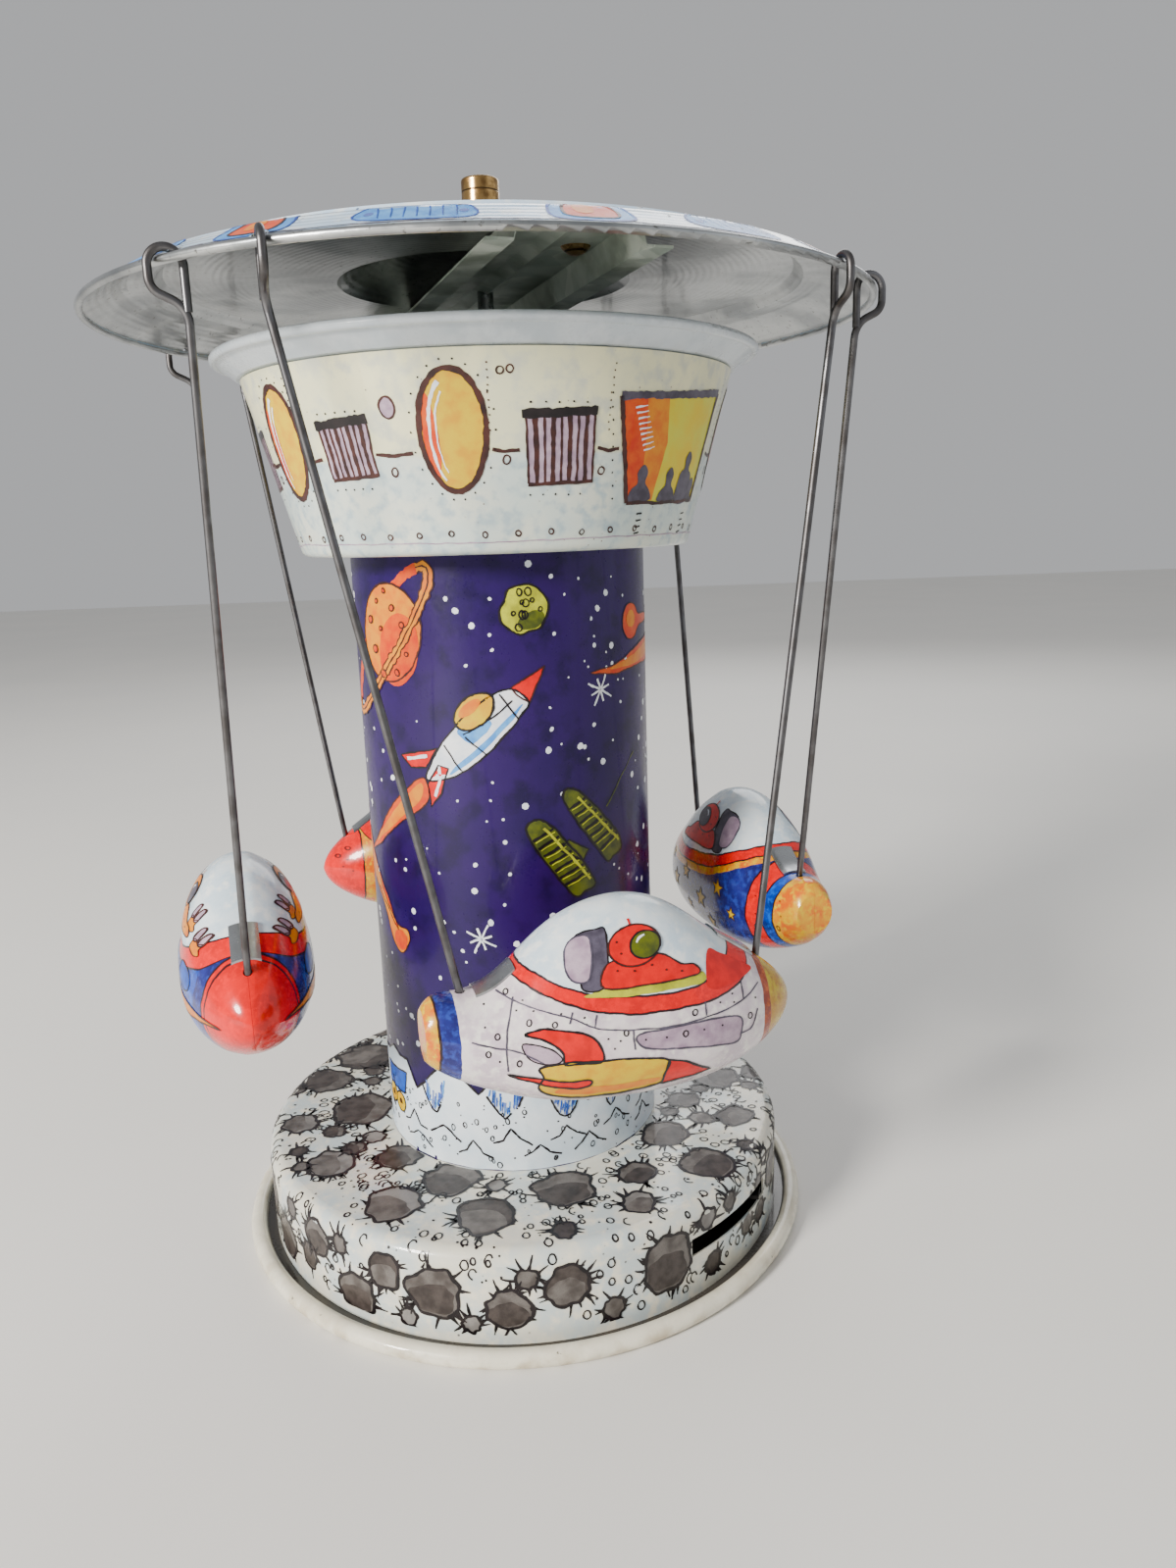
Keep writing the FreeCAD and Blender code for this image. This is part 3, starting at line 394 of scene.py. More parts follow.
SLOTS = ("rocket_white_litho", "rocket_navy_litho", "rocket_yellow_litho", "rocket_blue_litho")
INK_TONES = {
    "black": ((30, 24, 26), (14, 11, 13)),
    "brown": ((66, 38, 34), (36, 20, 20)),
    "crater": ((104, 99, 95), (66, 60, 57), 1.0, 4.0),
    "crater_dark": ((70, 63, 60), (42, 36, 34), 1.1, 3.0),
    "crater_light": ((134, 131, 127), (98, 94, 91), 1.0, 5.0),
    "white": ((238, 240, 242), (214, 220, 228)),
    "red": ((204, 30, 8), (172, 22, 8)),
    "orange": ((204, 92, 0), (188, 60, 0), 1.2),
    "amber": ((210, 142, 0), (202, 110, 0), 1.2),
    "yellow": ((212, 182, 0), (206, 154, 0), 1.1),
    "lime": ((186, 190, 40), (146, 148, 36), 1.0),
    "olive": ((92, 98, 50), (56, 62, 36)),
    "mauve": ((176, 160, 172), (142, 124, 140)),
    "slate": ((84, 80, 92), (56, 52, 62)),
    "sky": ((120, 166, 212), (84, 130, 190)),
    "cobalt": ((44, 84, 170), (30, 54, 128)),
    "moon": ((224, 230, 234), (202, 214, 222), 1.35, 8.0),
    "dusk": ((104, 122, 178), (72, 88, 150)),
    "glow": ((204, 204, 60), (218, 190, 20), 1.0, 9.0),
}


def make_finishes():
    """The material of each slot in the record."""
    recipes = {
        "moon_litho": (moon_print,), "space_litho": (night_print,), "hull_litho": (hull_print,),
        "canopy_litho": (canopy_print,), "galvanised_steel": (zinc,), "brass": (turned_brass,),
        # 75.4 mm: the radius inside which the base plate's groove is painted in shade
        "cream_enamel": (enamel, (226, 222, 208), (214, 210, 196), (140, 122, 92), 0.0, 7.0, 75.4),
        "grey_enamel": (enamel, (202, 208, 212), (184, 192, 198), (150, 148, 140), 221.0, 229.0),
        "bright_steel": (metal, (190, 192, 194), (146, 148, 150), 0.16, 0.34, (1, 1, 0.1)),
        "wire_steel": (metal, (112, 112, 114), (84, 82, 82), 0.30, 0.48, (1, 1, 0.08), 5.0, 0.03),
        "tinplate": (metal, (186, 188, 190), (150, 152, 154), 0.22, 0.42, (0.2, 1, 1), 6.0),
        "spring_steel": (metal, (74, 84, 112), (48, 52, 66), 0.20, 0.36, (1, 1, 0.1)),
        "black_steel": (metal, (52, 50, 50), (30, 30, 31), 0.34, 0.55),
    }
    for index, slot in enumerate(SLOTS):
        recipes[slot] = (rocket_paint, GONDOLA_AZIMUTH + 90 * index, LOOKS[index + 1])
    return {slot: maker(slot, *numbers) for slot, (maker, *numbers) in recipes.items()}


# ------------------------------------------------------------------ drawing

def ellipse(centre, half_width, half_height, tilt=0.0, start=0.0, stop=360.0, step=12):
    """Points round an ellipse or a part of one, angles in degrees."""
    count = max(3, round(abs(stop - start) / step))
    lean = math.radians(tilt)
    points = []
    for index in range(count + (abs(stop - start) < 360)):
        angle = math.radians(start + (stop - start) * index / count)
        x = half_width * math.cos(angle)
        y = half_height * math.sin(angle)
        points.append((centre[0] + x * math.cos(lean) - y * math.sin(lean),
                       centre[1] + x * math.sin(lean) + y * math.cos(lean)))
    return points


def smooth(points, closed=True, pieces=5):
    """A rounded line through points."""
    count = len(points)
    spans = count if closed else count - 1
    result = []
    for index in range(spans):
        picks = [index - 1, index, index + 1, index + 2]
        if closed:
            picks = [pick % count for pick in picks]
        else:
            picks = [min(max(pick, 0), count - 1) for pick in picks]
        a, b, c, d = (Vector(points[pick]) for pick in picks)
        for part in range(pieces):
            k = part / pieces
            result.append(tuple(0.5 * (2 * b + (c - a) * k + (2 * a - 5 * b + 4 * c - d) * k ** 2
                                       + (3 * b - a - 3 * c + d) * k ** 3)))
    if not closed:
        result.append(points[-1])
    return result


def divided(points, step, closed):
    """The same line with no stretch longer than a step."""
    ends = points + [points[0]] if closed else points
    result = []
    for first, last in zip(ends, ends[1:]):
        pieces = max(1, math.ceil(math.dist(first, last) / step))
        for part in range(pieces):
            k = part / pieces
            result.append((first[0] + (last[0] - first[0]) * k, first[1] + (last[1] - first[1]) * k))
    if not closed:
        result.append(points[-1])
    return result


def holds(outline, x, y):
    """Whether a closed outline goes round a point."""
    inside = False
    for (x1, y1), (x2, y2) in zip(outline, outline[1:] + outline[:1]):
        if (y1 > y) != (y2 > y) and x < (x2 - x1) * (y - y1) / (y2 - y1) + x1:
            inside = not inside
    return inside


def shaky(point, amount):
    """Small wander of a hand-drawn line, the same wherever two inks meet."""
    sway = noise.noise_vector(Vector((point[0] * 0.35, point[1] * 0.35, 4.7)))
    tremor = noise.noise_vector(Vector((point[0] * 1.3, point[1] * 1.3, 9.1)))
    return (point[0] + amount * (sway.x + 0.4 * tremor.x),
            point[1] + amount * (sway.y + 0.4 * tremor.y))


class Print:
    """Inked shapes on one surface, gathered into one skin."""

    def __init__(self, name, surface, shake=0.25, grid=2.0):
        self.name = name
        self.surface = surface
        self.shake = shake
        self.grid = grid
        self.place = None
        self.points, self.faces, self.inks = [], [], []

    def lay(self, flat, faces, ink_name, layer):
        """Lays flat shapes on the surface, at the height of their layer."""
        start = len(self.points)
        found = []
        for point in flat:
            point = shaky(point, self.shake)
            if self.place:
                point = self.place(*point)
            hit = self.surface(*point)
            found.append(hit)
            self.points.append(hit[0] + hit[1] * ((SKIN + layer * LAYER) * MM) if hit else None)
        for face in faces:
            if any(found[index] is None for index in face):
                continue
            a, b, c = (self.points[start + index] for index in face[:3])
            if (b - a).cross(c - a).dot(found[face[0]][1]) < 0:
                face = face[::-1]
            self.faces.append([start + index for index in face])
            self.inks.append(ink_name)

    def fill(self, outline, ink_name, layer=0):
        outline = divided(outline, self.grid, True)
        count = len(outline)
        xs = [x for x, _ in outline]
        ys = [y for _, y in outline]
        inner = []
        rows = int((max(ys) - min(ys)) / self.grid)
        columns = int((max(xs) - min(xs)) / self.grid)
        for row in range(rows + 1):
            for column in range(columns + 1):
                x = min(xs) + (column + 0.5 + 0.21 * (row % 2)) * self.grid
                y = min(ys) + (row + 0.5) * self.grid
                if holds(outline, x, y):
                    if min(math.dist((x, y), edge) for edge in outline) > 0.4 * self.grid:
                        inner.append((x, y))
        edges = [(index, (index + 1) % count) for index in range(count)]
        flat = [Vector(point) for point in outline + inner]
        points, _, faces, *_ = geometry.delaunay_2d_cdt(flat, edges, [], 1, 1e-5)
        self.lay([tuple(point) for point in points], [list(face) for face in faces], ink_name, layer)

    def line(self, points, width, ink_name="black", layer=2, closed=False, taper=0.0):
        """A pen stroke whose width wavers; taper thins it towards its end."""
        points = divided(points, min(0.8, self.grid), closed)
        count = len(points)
        if count < 2:
            return
        flat = []
        for index, point in enumerate(points):
            before = points[index - 1] if index or closed else point
            after = points[(index + 1) % count] if index < count - 1 or closed else point
            heading = Vector((after[0] - before[0], after[1] - before[1]))
            if heading.length < 1e-6:
                heading = Vector((1, 0))
            heading.normalize()
            waver = 1 + 0.45 * noise.noise(Vector((point[0] * 0.9, point[1] * 0.9, 2.2)))
            thin = 1 - taper * index / (count - 1)
            half = 0.5 * width * waver * max(thin, 0.12)
            flat.append((point[0] - heading.y * half, point[1] + heading.x * half))
            flat.append((point[0] + heading.y * half, point[1] - heading.x * half))
        spans = count if closed else count - 1
        faces = []
        for index in range(spans):
            a = 2 * index
            b = 2 * ((index + 1) % count)
            faces.append([a, a + 1, b + 1, b])
        self.lay(flat, faces, ink_name, layer)

    def shape(self, outline, ink_name, width=0.5, edge="black", layer=0):
        """A filled outline with a pen line round it."""
        self.fill(outline, ink_name, layer)
        self.line(outline, width, edge, layer + 2, closed=True)

    def dot(self, centre, radius, ink_name="black", layer=2, sides=8):
        flat = [centre] + ellipse(centre, radius, radius, step=360 / sides)
        faces = [[0, 1 + index, 1 + (index + 1) % sides] for index in range(sides)]
        self.lay(flat, faces, ink_name, layer)

    def ring(self, centre, radius, width=0.4, ink_name="black", layer=2, tall=1.2):
        self.line(ellipse(centre, radius, radius * tall, step=30), width, ink_name, layer, closed=True)

    def finish(self, body, slot):
        """Makes the skin and rides it on its body; the slot is not used."""
        used = sorted({index for face in self.faces for index in face})
        place = {index: new for new, index in enumerate(used)}
        mesh = bpy.data.meshes.new(self.name)
        mesh.from_pydata([self.points[index] for index in used], [],
                         [[place[index] for index in face] for face in self.faces])
        names = sorted(set(self.inks))
        for name in names:
            mesh.materials.append(INKS[name])
        for polygon, name in zip(mesh.polygons, self.inks):
            polygon.material_index = names.index(name)
            polygon.use_smooth = True
        mesh.validate()
        skin = bpy.data.objects.new(self.name, mesh)
        bpy.context.scene.collection.objects.link(skin)
        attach(skin, body)
        return skin


# ------------------------------------------------------------------ surfaces

def tree_of(*nodes):
    points, faces = [], []
    for node in nodes:
        mesh = frame["nodes"][node].data
        start = len(points)
        points += [vertex.co.copy() for vertex in mesh.vertices]
        faces += [[start + index for index in polygon.vertices] for polygon in mesh.polygons]
    return BVHTree.FromPolygons(points, faces)


def landed(tree, start, heading, reach):
    """Where a ray meets the tin, with the surface's direction there."""
    hit, normal, _, _ = tree.ray_cast(start * MM, heading, reach * MM)
    if hit is None:
        return None
    if normal.dot(heading) > 0:
        normal = -normal
    return hit, normal


def spun_surface(node, outline, radius):
    """Drawing surface of a turned wall: u goes round it, v goes along its outline."""
    tree = tree_of(node)
    lengths = [0.0]
    for first, last in zip(outline, outline[1:]):
        lengths.append(lengths[-1] + math.dist(first, last))

    def found(v):
        """Radius and height at a length along the outline, and which way it faces there."""
        v = min(max(v, 0.0), lengths[-1])
        index = max(i for i, length in enumerate(lengths[:-1]) if v >= length)
        k = (v - lengths[index]) / (lengths[index + 1] - lengths[index])
        (r1, z1), (r2, z2) = outline[index], outline[index + 1]
        return r1 + (r2 - r1) * k, z1 + (z2 - z1) * k, Vector((z2 - z1, r1 - r2)).normalized()

    def surface(u, v):
        away, height, out = found(v)
        side = Vector((math.sin(u / radius), -math.cos(u / radius), 0))
        normal = side * out[0] + Vector((0, 0, out[1]))
        start = side * away + Vector((0, 0, height)) + normal * PROBE_START
        return landed(tree, start, -normal, PROBE_REACH)

    surface.away = lambda v: found(v)[0]
    surface.length = lengths[-1]
    return surface


def hull_surface(number, side):
    """Side view of one gondola: u along it to the nose, v up; side -1 is its outer face.

    The drawing is cast on the hull from a little above and behind, as a standing eye sees it.
    """
    prefix = "gondola_%d_" % number
    tree = tree_of(prefix + ("outer_shell" if side < 0 else "inner_shell"))
    spin = Matrix.Rotation(math.radians(GONDOLA_AZIMUTH + 90 * (number - 1)), 3, "Z")
    glance = Vector((0.32, -side, -0.39))
    heading = (spin @ glance).normalized()

    def surface(u, v):
        start = Vector((u, -HULL_DISTANCE + side * HULL_HALF_WIDTH, v)) - glance * HULL_PROBE_START
        return landed(tree, spin @ start, heading, HULL_PROBE_REACH)

    return surface


# ------------------------------------------------------------------ artwork

def lumpy(draw, lumps, least, most, tall, pieces):
    """An uneven round outline."""
    outline = []
    for index in range(lumps):
        angle = FULL_TURN * index / lumps
        reach = draw.uniform(least, most)
        outline.append((reach * math.cos(angle), reach * tall * math.sin(angle)))
    return smooth(outline, True, pieces)


def crater(art, draw, size, tall, tone):
    """A watercolour crater: lumpy pool, shaded side, jagged edge and cracks."""
    edge = lumpy(draw, 18, 0.86 * size, 1.10 * size, tall, 3)
    art.fill(edge, tone)
    if size > 3.0:
        shade = [(0.86 * x - 0.05 * size, 0.62 * y - 0.24 * size * tall) for x, y in edge]
        art.fill(shade, "crater_dark" if tone == "crater" else "crater", 1)
    art.line(edge, 0.62 + 0.03 * size, "black", 3, closed=True)
    for index in range(round(8 + size * 1.4)):
        angle = draw.uniform(0, FULL_TURN)
        bend = angle + draw.uniform(-0.22, 0.22)
        reach = size + draw.uniform(1.0, 3.8)
        start = (0.95 * size * math.cos(angle), 0.95 * size * tall * math.sin(angle))
        stop = (reach * math.cos(bend), (reach - size + size * tall) * math.sin(bend))
        art.line([start, stop], 0.95, "black", 2, taper=0.75)


HOUSING_CORNER = (HOUSING_RADIUS - HOUSING_ROUND, HOUSING_TOP - HOUSING_ROUND)
HOUSING_OUTLINE = ([(HOUSING_RADIUS, HOUSING_PRINT_FOOT)]
                   + ellipse(HOUSING_CORNER, HOUSING_ROUND, HOUSING_ROUND, stop=90, step=11.25)
                   + [(COLUMN_RADIUS + 0.6, HOUSING_TOP)])
TOP_CRATERS = (
    (-50, 34, 8.5), (-60, 19, 7), (-46, 17, 2.6), (-47, 0, 9), (-64, -6, 5), (-42, -16, 3),
    (-52, -28, 6.5), (-34, -27, 5.8), (-20, -40, 7), (-34, -49, 7), (-11, -57, 7.2),
    (-8, -44, 2.6), (9, -48, 8), (8, -65, 3), (28, -43, 5), (27, -56, 4.6), (47, -41, 7),
    (38, -25, 6.6), (59, -18, 5.4), (46, -7, 4.4), (58, 5, 6.4))
SIDE_CRATERS = (
    (-73, 21, 2.6), (-60, 19, 5), (-64, 12, 3.4), (-78, 10, 6), (-46, 9, 6), (-37, 18, 4.6),
    (-24, 15, 7), (-31, 7, 2.4), (-15, 7.5, 2.4), (-6, 11.5, 5.4), (-1.5, 19.5, 2.8),
    (8, 16.5, 5.4), (19, 8, 2.8), (34, 15, 7.2), (47, 21.5, 3), (49, 8.5, 3))


def draw_housing():
    """Moon print: the craters of the seen side as listed, the rest and the small marks at random."""
    draw = random.Random(11)
    surface = spun_surface("base_housing", HOUSING_OUTLINE, HOUSING_RADIUS)
    art = Print("housing_print", surface, 0.3, 1.5)
    shoulder = HOUSING_TOP - HOUSING_ROUND - HOUSING_PRINT_FOOT
    flat_top = shoulder + math.pi / 2 * HOUSING_ROUND
    spots, places = [], []

    def spread(angle, along):
        away = surface.away(along)
        return away * math.sin(angle), away * math.cos(angle), along

    def take(angle, along, size):
        spots.append((angle, along, size))
        places.append(spread(angle, along))

    def gap_to_others(angle, along, size):
        here = spread(angle, along)
        return min(math.dist(here, place) - size - spot[2]
                   for place, spot in zip(places, spots))

    for x, y, size in TOP_CRATERS:
        take(math.atan2(x, -y), flat_top + HOUSING_CORNER[0] - math.hypot(x, y), size)
    for u, z, size in SIDE_CRATERS:
        take(u / HOUSING_RADIUS, z - HOUSING_PRINT_FOOT, size)
    wanted, attempts, marks = 118, 6000, 1500
    for _ in range(attempts):
        if len(spots) >= wanted:
            break
        angle = draw.uniform(-math.pi, math.pi)
        along = draw.uniform(2.5, surface.length - 2.5)
        size = draw.choice((2.4, 3.2, 4.6, 5.6, 6.8, 7.6))
        hidden = abs(angle) > 1.05 or along < shoulder
        in_print = size * 0.4 < along < surface.length - size * 0.9
        if hidden and in_print and gap_to_others(angle, along, size) > 1.6:
            take(angle, along, size)

    def local(angle, along):
        def place(a, b):
            v = along + b
            return (angle + a / max(surface.away(v), 20.0)) * HOUSING_RADIUS, v
        return place

    for angle, along, size in spots:
        art.place = local(angle, along)
        tone = draw.choice(("crater", "crater", "crater_light", "crater_dark"))
        crater(art, draw, size, draw.uniform(0.92, 1.12), tone)
    for _ in range(marks):
        angle = draw.uniform(-math.pi, math.pi)
        along = draw.uniform(0.8, surface.length - 0.8)
        if gap_to_others(angle, along, 1.2) < 0.8:
            continue
        art.place = local(angle, along)
        kind = draw.random()
        if kind < 0.45:
            art.dot((0, 0), draw.uniform(0.22, 0.42))
        elif kind < 0.85:
            art.ring((0, 0), draw.uniform(0.5, 1.0), 0.42)
        else:
            art.line(ellipse((0, 0), 1.0, 1.3, 0, draw.uniform(0, 90), 270), 0.42)
    art.place = None
    return art.finish("stand", "moon_litho")


# Column drawings, in millimetres round the column and up it.

def planet(art):
    body = ellipse((-30.5, 166), 10.6, 12.0, -18)
    ring_place = ((-33.5, 163.5), 24.0, 5.6, 48)
    behind = ellipse(*ring_place, 20, 160)
    art.line(behind, 2.5, "orange", 0)
    art.shape(body, "amber", 0.5, "brown", 1)
    shade = ellipse((-27.5, 162), 6.6, 9.0, -18)
    art.fill(shade, "orange", 2)
    front = ellipse(*ring_place, 158, 382)
    art.line(front, 2.9, "brown", 4)
    art.line(front, 2.1, "amber", 5)
    art.line(front, 0.4, "brown", 6)
    spots = ((-34, 173.5), (-28.5, 172), (-37.5, 169), (-33, 167), (-25.5, 168), (-36, 162),
             (-24.5, 161), (-28, 156.5), (-33, 156), (-31, 176))
    for index, spot in enumerate(spots):
        art.dot(spot, 0.75 + 0.25 * (index % 3), "brown", 5)
        art.dot(spot, 0.40 + 0.20 * (index % 3), "orange", 6)


def asteroid(art, draw):
    art.shape(lumpy(draw, 14, 5.2, 6.3, 0.95, 5), "lime", 0.5, "black")
    for _ in range(10):
        angle = draw.uniform(0, FULL_TURN)
        reach = draw.uniform(0.5, 4.4)
        spot = (reach * math.cos(angle), reach * math.sin(angle))
        art.ring(spot, draw.uniform(0.4, 0.8), 0.35, "black", 3)
    art.fill(ellipse((1.6, -2.4), 3.4, 2.0, 20), "olive", 1)


def rocket(art):
    flame = smooth([(-22, 131), (-28, 127.5), (-36, 120.5), (-43, 113), (-49.5, 108),
                    (-42, 111), (-36, 115), (-30, 119), (-25, 122), (-20.5, 126)])
    art.shape(flame, "orange", 0.35, "brown")
    art.fill(smooth([(-23, 129.5), (-30, 124), (-38, 117), (-44, 111.5), (-37, 115.2),
                     (-29, 121), (-23, 125.5)]), "amber", 1)
    body = smooth([(5.6, 149.6), (3, 145.5), (-2, 140), (-8, 134.8), (-14.8, 131.2), (-21, 130.8),
                   (-18, 137), (-13.5, 143), (-8, 148), (-3, 151.5), (1.6, 152.8)])
    art.shape(body, "white", 0.45)
    art.fill(smooth([(4.2, 148.8), (-2, 141.5), (-9, 135.5), (-14.5, 132), (-12, 135),
                     (-5, 140.5), (1.5, 147)]), "sky", 1)
    art.fill(smooth([(-12, 143), (-8, 140), (-3.5, 144.5), (-7, 146)]), "sky", 1)
    art.shape([(9.8, 157.8), (1.4, 153.0), (3.2, 151.2), (5.8, 149.4)], "red", 0.4, "brown")
    art.shape(ellipse((-7.6, 147.6), 5.7, 3.6, 38), "yellow", 0.55, "black", 2)
    art.fill(ellipse((-8.6, 148.4), 3.4, 1.3, 38), "amber", 3)
    art.shape([(-17.5, 138.6), (-28.6, 136.2), (-25.5, 133.2), (-21, 133.6)], "red", 0.4)
    art.shape([(-20, 123.8), (-20.6, 129.5), (-17.4, 134.4), (-14.8, 133.6), (-17, 127.5)], "red", 0.4)
    art.line([(-26.5, 135.4), (-20.5, 136.6)], 0.8, "white", 3)
    art.line([(-18.8, 126.5), (-16.6, 131.6)], 0.7, "white", 3)
    for line in (((-1.5, 151.5), (3, 145.6)), ((-10, 141.5), (-5, 137)),
                 ((-15.5, 139.5), (-11.5, 133)), ((-10.5, 142), (-2.5, 146.5), (1.5, 150))):
        art.line(list(line), 0.35, "black", 4)


def satellite(art):
    art.line([(26, 121), (32, 127.5), (38, 133)], 0.5, "olive", 1, taper=0.5)
    art.shape([(12, 112), (14.5, 114.5), (20, 111), (18, 108.5)], "olive", 0.4, "black")
    drums = (((13.4, 124.2), (17.6, 126.4), (31, 111.5), (28, 107.5), (24.5, 108.2)),
             ((3.8, 117), (8.6, 119.6), (21.2, 103.6), (18.4, 100.4), (14, 101)))
    for drum in drums:
        art.shape(smooth(list(drum)), "olive", 0.55, "black", 1)
        (x1, y1), (x2, y2), (x3, y3), _, (x5, y5) = drum
        art.line([(x2 - 0.6, y2 - 1.4), (x3 - 1.0, y3 - 0.2)], 0.7, "lime", 4)
        for index in range(1, 8):
            k = index / 8
            near = (x1 + (x5 - x1) * k, y1 + (y5 - y1) * k)
            far = (x2 + (x3 - x2) * k, y2 + (y3 - y2) * k)
            art.line([near, far], 0.65, "black", 3)
            art.line([(near[0] + 0.7, near[1] - 0.4), (far[0] + 0.4, far[1] - 0.8)], 0.3, "lime", 4)


def beacon(art):
    art.shape(smooth([(34.2, 166.3), (36.5, 170.2), (41, 170), (44, 167.6), (52, 167.4), (54, 165.6),
                      (44, 164.6), (40.5, 162), (36, 162.4)]), "orange", 0.35, "brown")
    art.fill(ellipse((38.5, 166.6), 2.4, 2.2), "amber", 1)


def flare(art):
    art.shape(smooth([(-60, 107), (-52, 101.5), (-46, 98), (-41, 92.5), (-38.5, 86.5), (-34.5, 83),
                      (-30.6, 86.5), (-31, 90), (-35, 90.8), (-39.5, 95), (-45, 101), (-55, 108)]),
              "amber", 0.35, "brown")
    art.fill(ellipse((-34.3, 86.7), 2.9, 2.8), "orange", 1)


def buggy(art):
    art.shape([(-50, 47), (-36.5, 48), (-38, 41.5), (-49, 41)], "cobalt", 0.45, "black", 2)
    for centre in ((-46.5, 38.5), (-41, 38)):
        art.shape(ellipse(centre, 2.8, 2.8), "yellow", 0.45, "black", 3)
        art.dot(centre, 0.8, "brown", 5)


def burst(art, centre, reach):
    for index in range(4):
        angle = math.radians(18 + 45 * index)
        x, y = reach * math.cos(angle), reach * math.sin(angle)
        length = 1.0 if index % 2 else 0.72
        art.line([(centre[0] - x * length, centre[1] - y * length),
                  (centre[0] + x * length, centre[1] + y * length)], 0.5, "white", 2)


def moved(dx, dz, turn=0.0, pivot=(0.0, 0.0)):
    """Moves and turns a drawing on the column."""
    angle = math.radians(turn)

    def place(u, v):
        x, y = u - pivot[0], v - pivot[1]
        return (pivot[0] + dx + x * math.cos(angle) - y * math.sin(angle),
                pivot[1] + dz + x * math.sin(angle) + y * math.cos(angle))
    return place


HALF_ROUND = math.pi * COLUMN_RADIUS


def hills(art, draw):
    sectors, points = 12, 5
    width = 2 * HALF_ROUND / sectors
    heights = [draw.uniform(45, 54) for _ in range(sectors * points)]
    for sector in range(sectors):
        left = -HALF_ROUND + sector * width
        crest = []
        for index in range(points + 1):
            number = (sector * points + index) % len(heights)
            crest.append((left + width * index / points, heights[number]))
        art.fill(crest + [(left + width, 26.6), (left, 26.6)], "moon")
        art.line(crest, 0.55, "black", 3)


def hollows(art, draw):
    """Hatched blue hollows under the crests, with none behind the buggy."""
    count = 14
    for index in range(count):
        u = -HALF_ROUND + (index + draw.uniform(0.2, 0.8)) * 2 * HALF_ROUND / count
        if -54 < u < -34:
            continue
        size = draw.uniform(3.0, 5.6)
        drop = draw.uniform(-2.2, 2.0)
        lean = draw.uniform(-0.22, 0.22)
        rim = [(u + x * size, 40.8 + drop + 7.0 * abs(x) ** 1.6 + lean * x * size
                + draw.uniform(-0.6, 0.6)) for x in (-1, -0.75, -0.45, -0.1, 0.25, 0.6, 0.95)]
        for _ in range(round(8 * size)):
            x = draw.uniform(-0.92, 0.92)
            floor = 41.2 + drop + 6.0 * abs(x) ** 1.6 + lean * x * size
            art.line([(u + x * size + 0.4, floor + draw.uniform(1.5, 5.8)),
                      (u + x * size, floor + draw.uniform(0, 1.6))],
                     0.42, draw.choice(("dusk", "dusk", "sky", "cobalt")), 4, taper=0.5)
        for first, last in zip(rim, rim[1:]):
            if draw.random() < 0.8:
                art.line([first, last], 0.5, "black", 5)


def ridges(art, draw):
    for base, count in ((34.5, 16), (30.5, 13)):
        for index in range(count):
            u = -HALF_ROUND + (index + draw.uniform(0.1, 0.5)) * 2 * HALF_ROUND / count
            ridge = [(u, base), (u + 2.5, base + draw.uniform(0.5, 1.6)),
                     (u + 4.5, base + draw.uniform(2.2, 4.4)), (u + 7.0, base + draw.uniform(0.4, 1.4)),
                     (u + 10.0, base - draw.uniform(0.2, 1.2))]
            art.line(ridge, 0.5, "black", 3)


def moonscape(art, draw):
    """Pale hills round the column's foot, with hollows, jagged ridges and small marks."""
    hills(art, draw)
    hollows(art, draw)
    ridges(art, draw)
    for _ in range(230):
        spot = (draw.uniform(-HALF_ROUND, HALF_ROUND), draw.uniform(28, 45))
        if draw.random() < 0.5:
            art.ring(spot, draw.uniform(0.3, 0.6), 0.28, "black", 3, tall=1.5)
        else:
            art.dot(spot, draw.uniform(0.18, 0.3), "black", 3)


def draw_column():
    """Night sky print: the seen drawings, turned copies of them round the back, and stars."""
    draw = random.Random(5)
    surface = spun_surface("column_tube", [(COLUMN_RADIUS, 0.0), (COLUMN_RADIUS, 200.0)], COLUMN_RADIUS)
    art = Print("column_print", surface, 0.28, 2.2)
    for drawing in (planet, rocket, satellite, beacon, flare):
        drawing(art)
    burst(art, (25, 150.5), 4.2)
    burst(art, (-8.8, 90.5), 4.2)
    for place in (moved(5.5, 171), moved(-62, 60), moved(60, 88)):
        art.place = place
        asteroid(art, draw)
    for drawing, place in ((rocket, moved(-40, -14, 96, (-20, 130))),
                           (rocket, moved(82, 22, -30, (-8, 140))), (planet, moved(146, -34)),
                           (satellite, moved(-108, 28, 15, (14, 114)))):
        art.place = place
        drawing(art)
    art.place = None
    burst(art, (52, 128), 4.0)
    burst(art, (-98, 96), 4.4)
    burst(art, (104, 84), 4.0)
    busy = ((-31, 165, 19), (5.5, 171, 8), (2, 150, 9), (-10, 143, 11), (-20, 133, 10),
            (-32, 122, 8), (-41, 113, 7), (14, 112, 12), (25, 118, 12), (40, 166, 7),
            (-34, 87, 6), (-43, 96, 6), (25, 150.5, 5), (-9, 90.5, 5))
    stars, lowest, highest = 560, 54, 182
    for _ in range(stars):
        spot = (draw.uniform(-HALF_ROUND, HALF_ROUND), draw.uniform(lowest, highest))
        if any(math.dist(spot, (x, y)) < reach for x, y, reach in busy):
            continue
        art.dot(spot, draw.choice((0.28, 0.36, 0.46, 0.6, 0.85)), "white", 0, 7)
    moonscape(art, draw)
    buggy(art)
    return art.finish("stand", "space_litho")


# Head drawings, in millimetres round its middle and up its slope.

